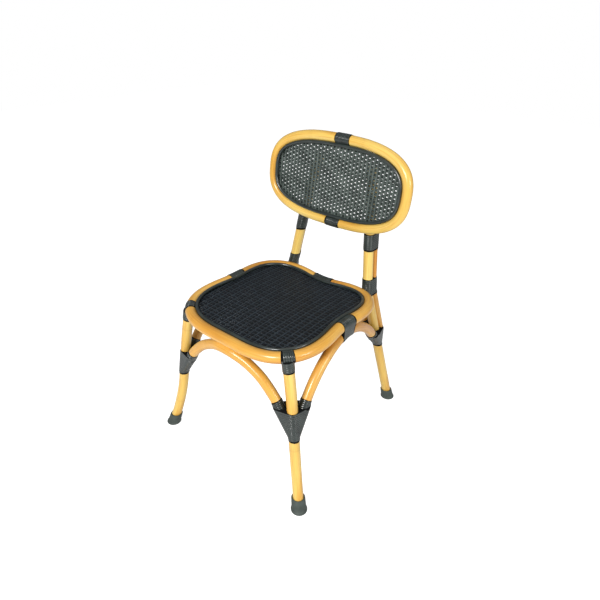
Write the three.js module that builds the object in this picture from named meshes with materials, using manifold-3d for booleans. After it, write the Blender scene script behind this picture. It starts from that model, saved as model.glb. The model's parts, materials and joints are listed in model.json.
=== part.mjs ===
// Rattan bistro chair with a round-cornered seat and an oval back.
// Millimetres, +Z up, the chair faces -Y, its left and right sides mirror each other.
// Every pole follows a curve through points that are shares of the sizes named here.
import * as THREE from "three";
import { mergeVertices } from "three/addons/utils/BufferGeometryUtils.js";
import Module from "manifold-3d";

const wasm = await Module();
wasm.setup();

// Poles: radius of each rattan cane
const seat_pole_radius = 15.1;
const leg_pole_radius = 14.3;
const arch_pole_radius = 14;
const back_pole_radius = 13.4;
const brace_pole_radius = 8.5;

// Seat ring: one bent pole, its radius about the seat's centre is a sum of cosines
const seat_radius = 223;
const seat_shape_shares = [1, 0.081, 0.0107, 0.0184, -0.0988];
const seat_level = 436;
const seat_saddle = 7;
const seat_slope_share = 0.0115;
const ring_joint_gap = 0.6;

// Front legs
const front_corner_angle = THREE.MathUtils.degToRad(42.6);
const front_foot_out = 258.8;
const front_foot_forward = 234.5;
const front_leg_top_outset = 5.5;
const front_leg_cope_drop = 5;

// Rear posts: each is one pole from the floor to the middle of the back
const post_angle = THREE.MathUtils.degToRad(144.2);
const rear_foot_out = 196.3;
const rear_foot_back = 323.5;
const post_housing = 5.5;
const post_rise = 342;
const post_lean_in = 54;
const post_lean_back = 47;

// Brace poles lashed behind the posts
const brace_low_level = 278;
const brace_top_level = 606;
const brace_direction_shares = [0.27, 0.963];

// Oval back rail
const back_half_width = 222;
const back_half_height = 112.1;
const back_level = 729;
const back_exponent_share = 2.757;
const back_tilt = THREE.MathUtils.degToRad(6.75);
const back_end_forward = 5;
const back_joint_offset = 10;

// Arches under the seat
const front_arch_end_level = 228;
const rear_arch_end_level = 243;
const cross_arch_end_offset = 24;
const side_arch_front_offset = 17;
const side_arch_rear_offset = 22;
const side_arch_crown_back = 12;

// Woven panels, one layer in the seat and two in the back, and the welts on their edges
const panel_thickness = 3.4;
const back_panel_thickness = 5.6;
const welt_radius = 4.5;
const seat_welt_angle = THREE.MathUtils.degToRad(33);
const back_welt_angle = THREE.MathUtils.degToRad(25);
const welt_joint_gap = 0.6;

// Bindings of black strip
const strip_thickness = 1.2;
const corner_strap_width = 31;
const leg_wrap_bottom = 397;
const post_wrap_low_bottom = 427;
const post_wrap_low_top = 476;
const post_wrap_high_bottom = 557;
const post_wrap_high_top = 604;
const front_web_bottom = 205;
const front_web_flare = 214;
const front_web_full = 282;
const front_web_top = 290;
const rear_web_bottom = 237;
const rear_web_flare = 243;
const rear_web_full = 292;
const rear_web_top = 300;
const arch_sleeve_length = 15;
const arch_sleeve_overlap = 16;
const side_ring_wrap_length = 54;
const rear_ring_wrap_length = 64;
const back_wrap_length = 46;

// Rubber foot caps
const cap_height = 37;
const cap_floor = 5;
const cap_foot_radius = 22;
const cap_top_radius = 18.6;
const cap_flange_height = 6;
const cap_edge = 1.2;

// Hardwood dowels hidden in the joints
const dowel_radius = 4;
const thin_dowel_radius = 2.5;
const dowel_reach = 22;
const thin_dowel_reach = 9;
const rear_pin_offset = 28;

// Fits and overruns
const clearance = 0.3;
const wrap_clearance = 0.6;
const panel_edge_clearance = 2.4;
const welt_clearance = 1.2;
const floor_overrun = 40;

// Counts and fractions of a path, which carry no size
const pole_sides = 10;
const wrap_sides = 12;
const welt_sides = 6;
const dowel_sides = 6;
const brace_sides = 8;
const ring_steps = 48;
const leg_steps = 11;
const post_steps = 18;
const brace_steps = 9;
const arch_steps = 16;
const rail_steps = 20;
const joint_rows = 7;
const wrap_rows = 4;
const strap_rows = 2;
const panel_rows = 4;
const samples = 300;
const halving_rounds = 14;

// Path shares: height, sideways and forward travel of a front leg, foot to top
const front_leg_shares = [
  [0, 1, 1],
  [0.164, 0.76, 0.669],
  [0.35, 0.545, 0.415],
  [0.561, 0.38, 0.271],
  [0.771, 0.217, 0.134],
  [1, 0, 0],
];
// Path shares of a post above the seat: rise, lean in, lean back
const post_shares = [
  [0.076, 0.081, 0.069],
  [0.234, 0.224, 0.193],
  [0.33, 0.315, 0.273],
  [0.468, 0.426, 0.397],
  [0.76, 0.693, 0.742],
  [0.901, 0.865, 0.897],
  [1, 1, 1],
];
const post_straight_shares = [0, 0.3, 0.6, 0.85, 0.96, 1];
// Path shares of half an arch, crown to end: run, drop, drift
const cross_arch_shares = [
  [0, 0, 0],
  [0.12, 0.016, 0.09],
  [0.302, 0.09, 0.42],
  [0.488, 0.201, 0.632],
  [0.607, 0.293, 0.716],
  [0.809, 0.52, 0.811],
  [0.875, 0.63, 0.842],
  [0.953, 0.819, 0.911],
  [1, 1, 1],
];
const side_arch_front_shares = [
  [0, 0, 0],
  [0.15, 0.02, 0.21],
  [0.3, 0.078, 0.37],
  [0.45, 0.17, 0.5],
  [0.6, 0.301, 0.62],
  [0.72, 0.437, 0.73],
  [0.84, 0.612, 0.84],
  [0.93, 0.788, 0.93],
  [1, 1, 1],
];
const side_arch_rear_shares = [
  [0, 0, 0],
  [0.15, 0.026, 0.11],
  [0.3, 0.096, 0.25],
  [0.45, 0.199, 0.42],
  [0.6, 0.33, 0.62],
  [0.72, 0.46, 0.79],
  [0.84, 0.625, 0.94],
  [0.93, 0.794, 1.01],
  [1, 1, 1],
];

// Finishes
const rattan = new THREE.MeshStandardMaterial({ color: 0xe9ad45, roughness: 0.35, metalness: 0 });
const strip = new THREE.MeshStandardMaterial({ color: 0x1b1f20, roughness: 0.35, metalness: 0 });
const weave = new THREE.MeshStandardMaterial({ color: 0x26292c, roughness: 0.55, metalness: 0 });
const cane = new THREE.MeshStandardMaterial({ color: 0x3a423e, roughness: 0.5, metalness: 0 });
const rubber = new THREE.MeshStandardMaterial({ color: 0x464f4b, roughness: 0.75, metalness: 0 });
const hardwood = new THREE.MeshStandardMaterial({ color: 0xb98a52, roughness: 0.7, metalness: 0 });

const up = new THREE.Vector3(0, 0, 1);
const right = new THREE.Vector3(1, 0, 0);
const back = new THREE.Vector3(0, 1, 0);

// Solids

function solid(geometry) {
  const bare = geometry.clone();
  bare.deleteAttribute("normal");
  bare.deleteAttribute("uv");
  const merged = mergeVertices(bare);
  const vertProperties = merged.attributes.position.array;
  const triVerts = new Uint32Array(merged.index.array);
  const made = new wasm.Manifold(new wasm.Mesh({ numProp: 3, vertProperties, triVerts }));
  if (made.volume() > 0) return made;
  for (let i = 0; i < triVerts.length; i += 3) {
    [triVerts[i + 1], triVerts[i + 2]] = [triVerts[i + 2], triVerts[i + 1]];
  }
  return new wasm.Manifold(new wasm.Mesh({ numProp: 3, vertProperties, triVerts }));
}

function geometry_of(body) {
  const mesh = body.getMesh();
  const positions = new THREE.BufferAttribute(new Float32Array(mesh.vertProperties), 3);
  const geometry = new THREE.BufferGeometry().setAttribute("position", positions);
  geometry.setIndex(new THREE.BufferAttribute(new Uint32Array(mesh.triVerts), 1));
  const flat = geometry.toNonIndexed();
  flat.computeVertexNormals();
  return flat;
}

// A cut can leave a loose sliver, and the piece itself is the largest body.
function largest(body) {
  const bodies = body.decompose();
  return bodies.reduce((best, one) => (one.volume() > best.volume() ? one : best));
}

function cut(body, cutters) {
  return largest(cutters.reduce((rest, cutter) => rest.subtract(cutter), body));
}

function polygon(radius, sides) {
  const turn = (2 * Math.PI) / sides;
  const points = [];
  for (let i = 0; i < sides; i++) {
    const angle = (i + 0.5) * turn;
    points.push(new THREE.Vector2(radius * Math.cos(angle), radius * Math.sin(angle)));
  }
  return points;
}

// A polygon of this radius keeps its flats outside a circle.
function around(radius, sides) {
  return radius / Math.cos(Math.PI / sides);
}

function pole(curve, radius, steps, sides = pole_sides) {
  const options = { steps, bevelEnabled: false, extrudePath: curve };
  return solid(new THREE.ExtrudeGeometry(new THREE.Shape(polygon(radius, sides)), options));
}

// Space kept free round a pole: its own facets, grown by a clearance
function room(curve, radius, steps, sides = pole_sides) {
  return pole(curve, radius + around(clearance, sides), steps, sides);
}

function dowel(from, to, radius) {
  return pole(new THREE.LineCurve3(from, to), radius, 1, dowel_sides);
}

// Skin through rows of points: each row is one closed outline, the ends are closed flat
function skin(rows) {
  const count = rows[0].length;
  const positions = rows.flat().flatMap((p) => [p.x, p.y, p.z]);
  const index = [];
  for (let row = 0; row + 1 < rows.length; row++) {
    for (let i = 0; i < count; i++) {
      const a = row * count + i;
      const b = row * count + ((i + 1) % count);
      index.push(a, b, b + count, a, b + count, a + count);
    }
  }
  const last = (rows.length - 1) * count;
  for (let i = 1; i + 1 < count; i++) {
    index.push(0, i + 1, i);
    index.push(last, last + i, last + i + 1);
  }
  return solid(geometry_from(positions, index));
}

function geometry_from(positions, index) {
  const geometry = new THREE.BufferGeometry();
  geometry.setAttribute("position", new THREE.Float32BufferAttribute(positions, 3));
  geometry.setIndex(index);
  return geometry;
}

// Curves

// What is made once for each side: 1 on the right, -1 on the left
function per_side(make) {
  const made = new Map();
  return (side) => {
    if (!made.has(side)) made.set(side, make(side));
    return made.get(side);
  };
}

const spaced = new WeakMap();

function points_of(curve) {
  if (!spaced.has(curve)) spaced.set(curve, curve.getSpacedPoints(samples));
  return spaced.get(curve);
}

class Path extends THREE.Curve {
  constructor(at) {
    super();
    this.at = at;
    this.arcLengthDivisions = samples;
  }
  getPoint(t) {
    return this.at(t);
  }
}

function spline(points) {
  const curve = new THREE.CatmullRomCurve3(points, false, "centripetal");
  curve.arcLengthDivisions = samples;
  return curve;
}

// The straight steps that a pole is made of
function facets(curve, steps) {
  const points = curve.getSpacedPoints(steps);
  return new Path((t) => {
    const step = Math.min(Math.floor(t * steps), steps - 1);
    return points[step].clone().lerp(points[step + 1], t * steps - step);
  });
}

function stretch(curve, from, to) {
  return new Path((t) => curve.getPointAt(from + (to - from) * t));
}

// Where a curve crosses a plane square to one axis, or its nearest end
function crossing(curve, axis, value) {
  const points = points_of(curve);
  for (let i = 0; i < samples; i++) {
    const a = points[i][axis] - value;
    const b = points[i + 1][axis] - value;
    if (a * b <= 0 && a !== b) return points[i].clone().lerp(points[i + 1], a / (a - b));
  }
  const near = (p) => Math.abs(p[axis] - value);
  return (near(points[0]) < near(points[samples]) ? points[0] : points[samples]).clone();
}

// How far along a curve, as a share of its length, it crosses a plane
function share_at(curve, axis, value) {
  const points = points_of(curve);
  const crossed = (p, i) => i > 0 && (p[axis] - value) * (points[i - 1][axis] - value) <= 0;
  return points.findIndex(crossed) / samples;
}

function closest(curve_a, curve_b) {
  const a = points_of(curve_a);
  const b = points_of(curve_b);
  let best = { distance: Infinity };
  for (const p of a) {
    for (const q of b) {
      const distance = p.distanceTo(q);
      if (distance < best.distance) best = { distance, p, q };
    }
  }
  return best;
}

// Seat rim: points of the ring's centreline by angle, 0 at the front, growing to the right

function rim_radius(angle) {
  return seat_radius * seat_shape_shares.reduce((sum, share, n) => sum + share * Math.cos(n * angle), 0);
}

function seat_surface(angle, reach) {
  const radius = rim_radius(angle) * reach;
  const y = -radius * Math.cos(angle);
  const z = seat_level + seat_slope_share * y + seat_saddle * -Math.cos(2 * angle) * reach * reach;
  return new THREE.Vector3(radius * Math.sin(angle), y, z);
}

function seat_rim(angle) {
  return seat_surface(angle, 1);
}

// Back rim: points of the oval's centreline by angle, 0 at its right end, growing upwards

function oval_radius(angle) {
  const wide = Math.abs(Math.cos(angle) / back_half_width) ** back_exponent_share;
  const high = Math.abs(Math.sin(angle) / back_half_height) ** back_exponent_share;
  return (wide + high) ** (-1 / back_exponent_share);
}

function back_surface(angle, depth) {
  const radius = oval_radius(angle);
  return back_sheet(radius * Math.cos(angle), radius * Math.sin(angle), depth);
}

// The back's gently bent sheet: across it, up along it, and its depth
function back_sheet(x, height, depth) {
  const forward = back_end_forward * (x / back_half_width) ** 2;
  const y = depth + height * Math.sin(back_tilt) - forward;
  return new THREE.Vector3(x, y, back_level + height * Math.cos(back_tilt));
}

// A point beside a rim: inward across it, and lifted square to its plane
function beside(rim, angle, lift_direction, inward, lift) {
  const step = Math.PI / samples;
  const along = rim(angle + step).sub(rim(angle - step));
  const side = lift_direction.clone().cross(along).normalize();
  const lifted = lift_direction.clone().multiplyScalar(lift);
  return rim(angle).addScaledVector(side, inward).add(lifted);
}

// Paths of the poles, side is 1 on the right and -1 on the left

function ring_path() {
  const gap = ring_joint_gap / 2 / rim_radius(Math.PI);
  return new Path((t) => seat_rim(Math.PI + gap + t * 2 * (Math.PI - gap)));
}

const front_leg_path = per_side((side) => {
  const corner = seat_rim(front_corner_angle);
  const outward = new THREE.Vector3(Math.sin(front_corner_angle), -Math.cos(front_corner_angle), 0);
  const top = corner.addScaledVector(outward, front_leg_top_outset);
  top.z -= front_leg_cope_drop;
  const points = front_leg_shares.map(([high, out, forward]) => {
    const x = top.x + out * (front_foot_out - top.x);
    const y = top.y + forward * (-front_foot_forward - top.y);
    return new THREE.Vector3(side * x, y, high * top.z);
  });
  return spline(lengthened(points));
});

// The first stretch is carried on below the floor, and the pole is cut level inside its cap.
function lengthened(points) {
  const down = points[0].clone().sub(points[1]).setLength(cap_height);
  return [points[0].clone().add(down), ...points];
}

const post_path = per_side((side) => {
  const outward = beside(seat_rim, post_angle, up, -1, 0).sub(seat_rim(post_angle));
  const seat_joint = seat_rim(post_angle);
  seat_joint.addScaledVector(outward, seat_pole_radius + leg_pole_radius - post_housing);
  const foot = new THREE.Vector3(rear_foot_out, rear_foot_back, 0);
  const straight = post_straight_shares.map((share) => foot.clone().lerp(seat_joint, share));
  const bent = post_shares.map(([rise, inward, backward]) => {
    const lean = new THREE.Vector3(-inward * post_lean_in, backward * post_lean_back, rise * post_rise);
    return seat_joint.clone().add(lean);
  });
  const points = [...straight, ...bent].map((p) => new THREE.Vector3(side * p.x, p.y, p.z));
  return spline(lengthened(points));
});

const brace_path = per_side((side) => {
  const post = post_path(side);
  const low = share_at(post, "z", brace_low_level);
  const high = share_at(post, "z", brace_top_level);
  const [out, behind] = brace_direction_shares;
  const away = new THREE.Vector3(side * out, behind, 0);
  return new Path((t) => {
    const share = low + (high - low) * t;
    const along = post.getTangentAt(share);
    const square = away.clone().addScaledVector(along, -away.dot(along)).normalize();
    const apart = leg_pole_radius + brace_pole_radius + around(clearance, pole_sides);
    return post.getPointAt(share).addScaledVector(square, apart);
  });
});

// Depth at which the back rail rests against the front of the posts
function back_depth() {
  const post = post_path(1);
  const apart = back_pole_radius + leg_pole_radius + clearance;
  let near = post.getPointAt(1).y;
  let far = near - back_half_width;
  for (let i = 0; i < halving_rounds; i++) {
    const middle = (near + far) / 2;
    const lower_right = new Path((t) => back_surface((-t * Math.PI) / 2, middle));
    if (closest(lower_right, post).distance < apart) near = middle;
    else far = middle;
  }
  return far;
}

const depth_of_back = back_depth();

function back_rim(angle) {
  return back_surface(angle, depth_of_back);
}

// Each half of the back rail ends a little to one side of the middle, under a binding.
const rail_path = per_side((side) => {
  const top = Math.acos(back_joint_offset / oval_radius(Math.PI / 2));
  const bottom = -top;
  const gap = ring_joint_gap / 2 / back_half_height;
  const whole = 2 * Math.PI;
  const from = side > 0 ? bottom + gap : top + gap;
  const to = side > 0 ? top - gap : whole + bottom - gap;
  return new Path((t) => back_rim(from + (to - from) * t));
});

function arch_half(crown, end, shares, run_axis) {
  const drift_axis = run_axis === "x" ? "y" : "x";
  return shares.map(([run, drop, drift]) => {
    const point = new THREE.Vector3();
    point[run_axis] = crown[run_axis] + run * (end[run_axis] - crown[run_axis]);
    point[drift_axis] = crown[drift_axis] + drift * (end[drift_axis] - crown[drift_axis]);
    point.z = crown.z + drop * (end.z - crown.z);
    return point;
  });
}

// The crown touches the ring from below.
function crown_under(angle) {
  const crown = seat_rim(angle);
  crown.z -= seat_pole_radius + arch_pole_radius + clearance;
  return crown;
}

function beside_pole(curve, level, direction, offset) {
  return crossing(curve, "z", level).addScaledVector(direction, offset);
}

function cross_arch_path(angle, leg_path, level) {
  const crown = crown_under(angle);
  const right_end = beside_pole(leg_path(1), level, right, -cross_arch_end_offset);
  const half = arch_half(crown, right_end, cross_arch_shares, "x");
  const mirrored = half.map((p) => new THREE.Vector3(-p.x, p.y, p.z));
  return spline([...mirrored.slice(1).reverse(), ...half]);
}

const side_arch_path = per_side((side) => {
  const angle = Math.PI / 2 + side_arch_crown_back / rim_radius(Math.PI / 2);
  const crown = crown_under(side * angle);
  const front_end = beside_pole(front_leg_path(side), front_arch_end_level, back, side_arch_front_offset);
  const inward = new THREE.Vector3(side * brace_direction_shares[0], -brace_direction_shares[1], 0);
  const rear_end = beside_pole(post_path(side), rear_arch_end_level, inward, side_arch_rear_offset);
  const front = arch_half(crown, front_end, side_arch_front_shares, "y");
  const rear = arch_half(crown, rear_end, side_arch_rear_shares, "y");
  return spline([...front.slice(1).reverse(), ...rear]);
});

const front_arch_path = cross_arch_path(0, front_leg_path, front_arch_end_level);
const rear_arch_path = cross_arch_path(Math.PI, post_path, rear_arch_end_level);

// The poles' straight steps, which their bindings follow

const leg_line = per_side((side) => facets(front_leg_path(side), leg_steps));
const post_line = per_side((side) => facets(post_path(side), post_steps));
const brace_line = per_side((side) => facets(brace_path(side), brace_steps));
const side_arch_line = per_side((side) => facets(side_arch_path(side), arch_steps));
const front_arch_line = facets(front_arch_path, arch_steps);
const rear_arch_line = facets(rear_arch_path, arch_steps);

// Space of the main poles, which their neighbours are cut back from

const ring_room = room(ring_path(), seat_pole_radius, ring_steps);
const leg_room = per_side((side) => room(front_leg_path(side), leg_pole_radius, leg_steps));
const post_room = per_side((side) => room(post_path(side), leg_pole_radius, post_steps));
const side_arch_room = per_side((side) => room(side_arch_path(side), arch_pole_radius, arch_steps));
const front_arch_room = room(front_arch_path, arch_pole_radius, arch_steps);
const rear_arch_room = room(rear_arch_path, arch_pole_radius, arch_steps);
const rail_room = per_side((side) => room(rail_path(side), back_pole_radius, rail_steps));

// Everything below the floor of the caps
function below(level) {
  const size = 4 * seat_radius;
  const block = new THREE.BoxGeometry(size, size, floor_overrun + level);
  block.translate(0, 0, (level - floor_overrun) / 2);
  return solid(block);
}

// Dowels: where each one lies, from one end to the other

function ring_dowel_ends() {
  const middle = seat_rim(Math.PI);
  return [
    middle.clone().addScaledVector(right, -dowel_reach),
    middle.clone().addScaledVector(right, dowel_reach),
  ];
}

function rail_dowel_ends(top) {
  const angle = Math.acos(back_joint_offset / oval_radius(Math.PI / 2)) * (top ? 1 : -1);
  const middle = back_rim(angle);
  return [
    middle.clone().addScaledVector(right, -dowel_reach),
    middle.clone().addScaledVector(right, dowel_reach),
  ];
}

function leg_dowel_ends(side) {
  const corner = seat_rim(side * front_corner_angle);
  const top = corner.clone().addScaledVector(up, thin_dowel_reach);
  const low = front_leg_path(side).getPointAt(1).addScaledVector(up, -2 * dowel_reach);
  return [low, top];
}

function post_dowel_ends(side) {
  const centre = seat_rim(side * post_angle);
  const post = crossing(post_path(side), "z", centre.z);
  const along = post.clone().sub(centre).normalize();
  return [
    centre.clone().addScaledVector(along, -thin_dowel_reach),
    post.clone().addScaledVector(along, thin_dowel_reach),
  ];
}

function rail_post_dowel_ends(side) {
  const lower = new Path((t) => back_rim(side > 0 ? (-t * Math.PI) / 2 : Math.PI + (t * Math.PI) / 2));
  const { p, q } = closest(lower, post_path(side));
  const along = q.clone().sub(p).normalize();
  return [
    p.clone().addScaledVector(along, -thin_dowel_reach),
    q.clone().addScaledVector(along, thin_dowel_reach),
  ];
}

function arch_dowel_ends(angle) {
  const top = seat_rim(angle);
  const low = crown_under(angle);
  return [
    low.addScaledVector(up, -thin_dowel_reach),
    top.addScaledVector(up, thin_dowel_reach),
  ];
}

// The rear arch is pinned beside the joint of the ring, clear of the dowel in it.
const side_crown_angle = Math.PI / 2 + side_arch_crown_back / rim_radius(Math.PI / 2);
const rear_pin_angle = Math.PI - rear_pin_offset / rim_radius(Math.PI);

const dowels = {
  ring_dowel: { ends: ring_dowel_ends(), radius: dowel_radius },
  back_dowel_top: { ends: rail_dowel_ends(true), radius: dowel_radius },
  back_dowel_bottom: { ends: rail_dowel_ends(false), radius: dowel_radius },
  leg_dowel_right: { ends: leg_dowel_ends(1), radius: dowel_radius },
  leg_dowel_left: { ends: leg_dowel_ends(-1), radius: dowel_radius },
  post_dowel_right: { ends: post_dowel_ends(1), radius: thin_dowel_radius },
  post_dowel_left: { ends: post_dowel_ends(-1), radius: thin_dowel_radius },
  back_post_dowel_right: { ends: rail_post_dowel_ends(1), radius: thin_dowel_radius },
  back_post_dowel_left: { ends: rail_post_dowel_ends(-1), radius: thin_dowel_radius },
  front_arch_dowel: { ends: arch_dowel_ends(0), radius: thin_dowel_radius },
  rear_arch_dowel: { ends: arch_dowel_ends(rear_pin_angle), radius: thin_dowel_radius },
  right_arch_dowel: { ends: arch_dowel_ends(side_crown_angle), radius: thin_dowel_radius },
  left_arch_dowel: { ends: arch_dowel_ends(-side_crown_angle), radius: thin_dowel_radius },
};

function bore_for(name) {
  const { ends, radius } = dowels[name];
  const along = ends[1].clone().sub(ends[0]).setLength(clearance);
  const from = ends[0].clone().sub(along);
  const to = ends[1].clone().add(along);
  return dowel(from, to, radius + around(clearance, dowel_sides));
}

// Sleeves of strip

// Round one pole, square to it
function sleeve(curve, from, to, radius, steps, grown = 0) {
  const inner = around(radius + wrap_clearance, wrap_sides);
  const outline = new THREE.Shape(polygon(inner + strip_thickness + grown, wrap_sides));
  if (!grown) outline.holes.push(new THREE.Path(polygon(inner, wrap_sides)));
  const path = stretch(curve, from, to);
  return solid(new THREE.ExtrudeGeometry(outline, { steps, bevelEnabled: false, extrudePath: path }));
}

// Outline pulled tight round several circles in one plane, made of tangents at equal turns
function taut_outline({ origin, across, over, circles }, grown) {
  const turn = (2 * Math.PI) / wrap_sides;
  const reach = (angle) => {
    const reaches = circles.map((c) => c.a * Math.cos(angle) + c.b * Math.sin(angle) + c.radius);
    return Math.max(...reaches) + wrap_clearance + grown;
  };
  const points = [];
  for (let i = 0; i < wrap_sides; i++) {
    const angle = i * turn;
    const out = reach(angle);
    const along = (reach(angle + turn) - out * Math.cos(turn)) / Math.sin(turn);
    const a = out * Math.cos(angle) - along * Math.sin(angle);
    const b = out * Math.sin(angle) + along * Math.cos(angle);
    points.push(origin.clone().addScaledVector(across, a).addScaledVector(over, b));
  }
  return points;
}

// A tight sleeve round several poles: the outer skin less the inner one
function taut_sleeve(stations, grown = 0) {
  const outer = stations.map((station) => taut_outline(station, strip_thickness + grown));
  const inner = stations.map((station) => taut_outline(station, -grown));
  const count = wrap_sides;
  const rows = stations.length;
  const positions = [...outer.flat(), ...inner.flat()].flatMap((p) => [p.x, p.y, p.z]);
  const index = [];
  const quad = (a, b, c, d) => index.push(a, b, c, a, c, d);
  for (let i = 0; i < count; i++) {
    const j = (i + 1) % count;
    for (let row = 0; row + 1 < rows; row++) {
      const low = row * count;
      const high = low + count;
      quad(low + i, low + j, high + j, high + i);
      const offset = rows * count;
      quad(offset + low + j, offset + low + i, offset + high + i, offset + high + j);
    }
    const inside = rows * count;
    const last = (rows - 1) * count;
    quad(inside + i, inside + j, j, i);
    quad(last + i, last + j, inside + last + j, inside + last + i);
  }
  return solid(geometry_from(positions, index));
}

// Space kept free round a tight sleeve, beyond its ends too
function taut_room(stations) {
  const last = stations.length - 1;
  const beyond = stations[last].origin.clone().sub(stations[0].origin).setLength(clearance);
  const rows = stations.map((station) => taut_outline(station, strip_thickness + clearance));
  for (const point of rows[0]) point.sub(beyond);
  for (const point of rows[last]) point.add(beyond);
  return skin(rows);
}

// The circle in which a pole meets a plane, widened where the pole leans
function circle_of(curve, radius, axis, value) {
  const at = crossing(curve, axis, value);
  const share = THREE.MathUtils.clamp(share_at(curve, axis, value), 1 / samples, 1 - 1 / samples);
  const lean = Math.abs(curve.getTangentAt(share)[axis]);
  return { at, radius: radius / lean };
}

function level_station(level, circles) {
  const flat = circles.map(({ at, radius }) => ({ a: at.x, b: at.y, radius }));
  return { origin: new THREE.Vector3(0, 0, level), across: right, over: back, circles: flat };
}

function levels(from, to, count) {
  return Array.from({ length: count + 1 }, (_, i) => from + ((to - from) * i) / count);
}

// A web round a leg and its companion poles, which opens straight out to them from flare to full
function joint_stations(leg, companions, { bottom, flare, full, top }) {
  return levels(bottom, top, joint_rows).map((level) => {
    const main = circle_of(leg, leg_pole_radius, "z", level);
    const open = THREE.MathUtils.clamp((level - flare) / (full - flare), 0, 1);
    const height = Math.max(level, full);
    const others = companions.map(({ curve, radius }) => {
      const other = circle_of(curve, radius, "z", height);
      const offset = other.at.clone().sub(crossing(leg, "z", height)).multiplyScalar(open);
      const blended = leg_pole_radius + (other.radius - leg_pole_radius) * open;
      return { at: main.at.clone().add(offset), radius: blended };
    });
    return level_station(level, [main, ...others]);
  });
}

// One half of an arch, lowest point first
function arch_end(line, from_start) {
  return from_start ? stretch(line, 0, 0.5) : stretch(line, 1, 0.5);
}

function arch_companion(line, from_start) {
  return { curve: arch_end(line, from_start), radius: arch_pole_radius };
}

const front_joint_stations = per_side((side) => {
  const cross = arch_companion(front_arch_line, side < 0);
  const along = arch_companion(side_arch_line(side), true);
  const web_levels = {
    bottom: front_web_bottom,
    flare: front_web_flare,
    full: front_web_full,
    top: front_web_top,
  };
  return joint_stations(leg_line(side), [cross, along], web_levels);
});

const rear_joint_stations = per_side((side) => {
  const cross = arch_companion(rear_arch_line, side < 0);
  const along = arch_companion(side_arch_line(side), false);
  const brace = { curve: brace_line(side), radius: brace_pole_radius };
  const web_levels = {
    bottom: rear_web_bottom,
    flare: rear_web_flare,
    full: rear_web_full,
    top: rear_web_top,
  };
  return joint_stations(post_line(side), [cross, along, brace], web_levels);
});

function post_stations(side, bottom, top) {
  return levels(bottom, top, wrap_rows).map((level) => {
    const post = circle_of(post_line(side), leg_pole_radius, "z", level);
    const brace = circle_of(brace_line(side), brace_pole_radius, "z", level);
    return level_station(level, [post, brace]);
  });
}

// Bindings of the ring and an arch's crown below it, in planes square to one axis
function ring_stations(axis, middle, length, circles_of) {
  return levels(middle - length / 2, middle + length / 2, wrap_rows).map((value) => {
    const origin = new THREE.Vector3();
    origin[axis] = value;
    const across = axis === "y" ? right : back;
    const flat_axis = axis === "y" ? "x" : "y";
    const circles = circles_of(value).map(({ at, radius }) => ({ a: at[flat_axis], b: at.z, radius }));
    return { origin, across, over: up, circles };
  });
}

function side_ring_stations(side) {
  const half_ring = new Path((t) => seat_rim(side * (Math.PI / 4 + (t * Math.PI) / 2)));
  const arch = side_arch_line(side);
  const middle = seat_rim(side_crown_angle).y;
  return ring_stations("y", middle, side_ring_wrap_length, (value) => [
    circle_of(half_ring, seat_pole_radius, "y", value),
    circle_of(arch, arch_pole_radius, "y", value),
  ]);
}

function rear_ring_stations() {
  const half_ring = new Path((t) => seat_rim((3 * Math.PI) / 4 + (t * Math.PI) / 2));
  return ring_stations("x", 0, rear_ring_wrap_length, (value) => [
    circle_of(half_ring, seat_pole_radius, "x", value),
    circle_of(rear_arch_line, arch_pole_radius, "x", value),
  ]);
}

function strap(side, grown = 0) {
  const corner = new Path((t) => seat_rim(side * (t * Math.PI) / 2));
  const half = corner_strap_width / 2 / corner.getLength();
  const middle = share_at(corner, "x", seat_rim(side * front_corner_angle).x);
  return sleeve(corner, middle - half, middle + half, seat_pole_radius, strap_rows, grown);
}

function back_wrap(top, grown = 0) {
  const middle = Math.acos(back_joint_offset / oval_radius(Math.PI / 2)) * (top ? 1 : -1);
  const half = back_wrap_length / 2 / oval_radius(Math.PI / 2);
  const curve = new Path((t) => back_rim(middle - half + 2 * half * t));
  return sleeve(curve, 0, 1, back_pole_radius, strap_rows, grown);
}

// Pieces

function seat_ring() {
  const ring = pole(ring_path(), seat_pole_radius, ring_steps);
  const bores = ["ring_dowel", "leg_dowel_right", "leg_dowel_left", "post_dowel_right"];
  const more = ["post_dowel_left", "front_arch_dowel", "rear_arch_dowel", "right_arch_dowel"];
  return cut(ring, [...bores, ...more, "left_arch_dowel"].map(bore_for));
}

function front_leg(side, name) {
  const leg = pole(front_leg_path(side), leg_pole_radius, leg_steps);
  return cut(leg, [ring_room, below(cap_floor), bore_for("leg_dowel_" + name)]);
}

function rear_post(side, name) {
  const post = pole(post_path(side), leg_pole_radius, post_steps);
  const bores = [bore_for("post_dowel_" + name), bore_for("back_post_dowel_" + name)];
  return cut(post, [ring_room, rail_room(side), below(cap_floor), ...bores]);
}

function rear_brace(side) {
  const brace = pole(brace_path(side), brace_pole_radius, brace_steps, brace_sides);
  const web = web_room(rear_joint_stations(side));
  return cut(brace, [post_room(side), rail_room(side), side_arch_room(side), rear_arch_room, web]);
}

// The ends of arches and braces are pared down to the taper of the web that binds them.
function web_room(stations) {
  return taut_sleeve(stations, clearance);
}

function front_arch() {
  const arch = pole(front_arch_path, arch_pole_radius, arch_steps);
  const webs = [1, -1].map((side) => web_room(front_joint_stations(side)));
  return cut(arch, [ring_room, leg_room(1), leg_room(-1), ...webs, bore_for("front_arch_dowel")]);
}

function rear_arch() {
  const arch = pole(rear_arch_path, arch_pole_radius, arch_steps);
  const webs = [1, -1].map((side) => web_room(rear_joint_stations(side)));
  return cut(arch, [ring_room, post_room(1), post_room(-1), ...webs, bore_for("rear_arch_dowel")]);
}

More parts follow.
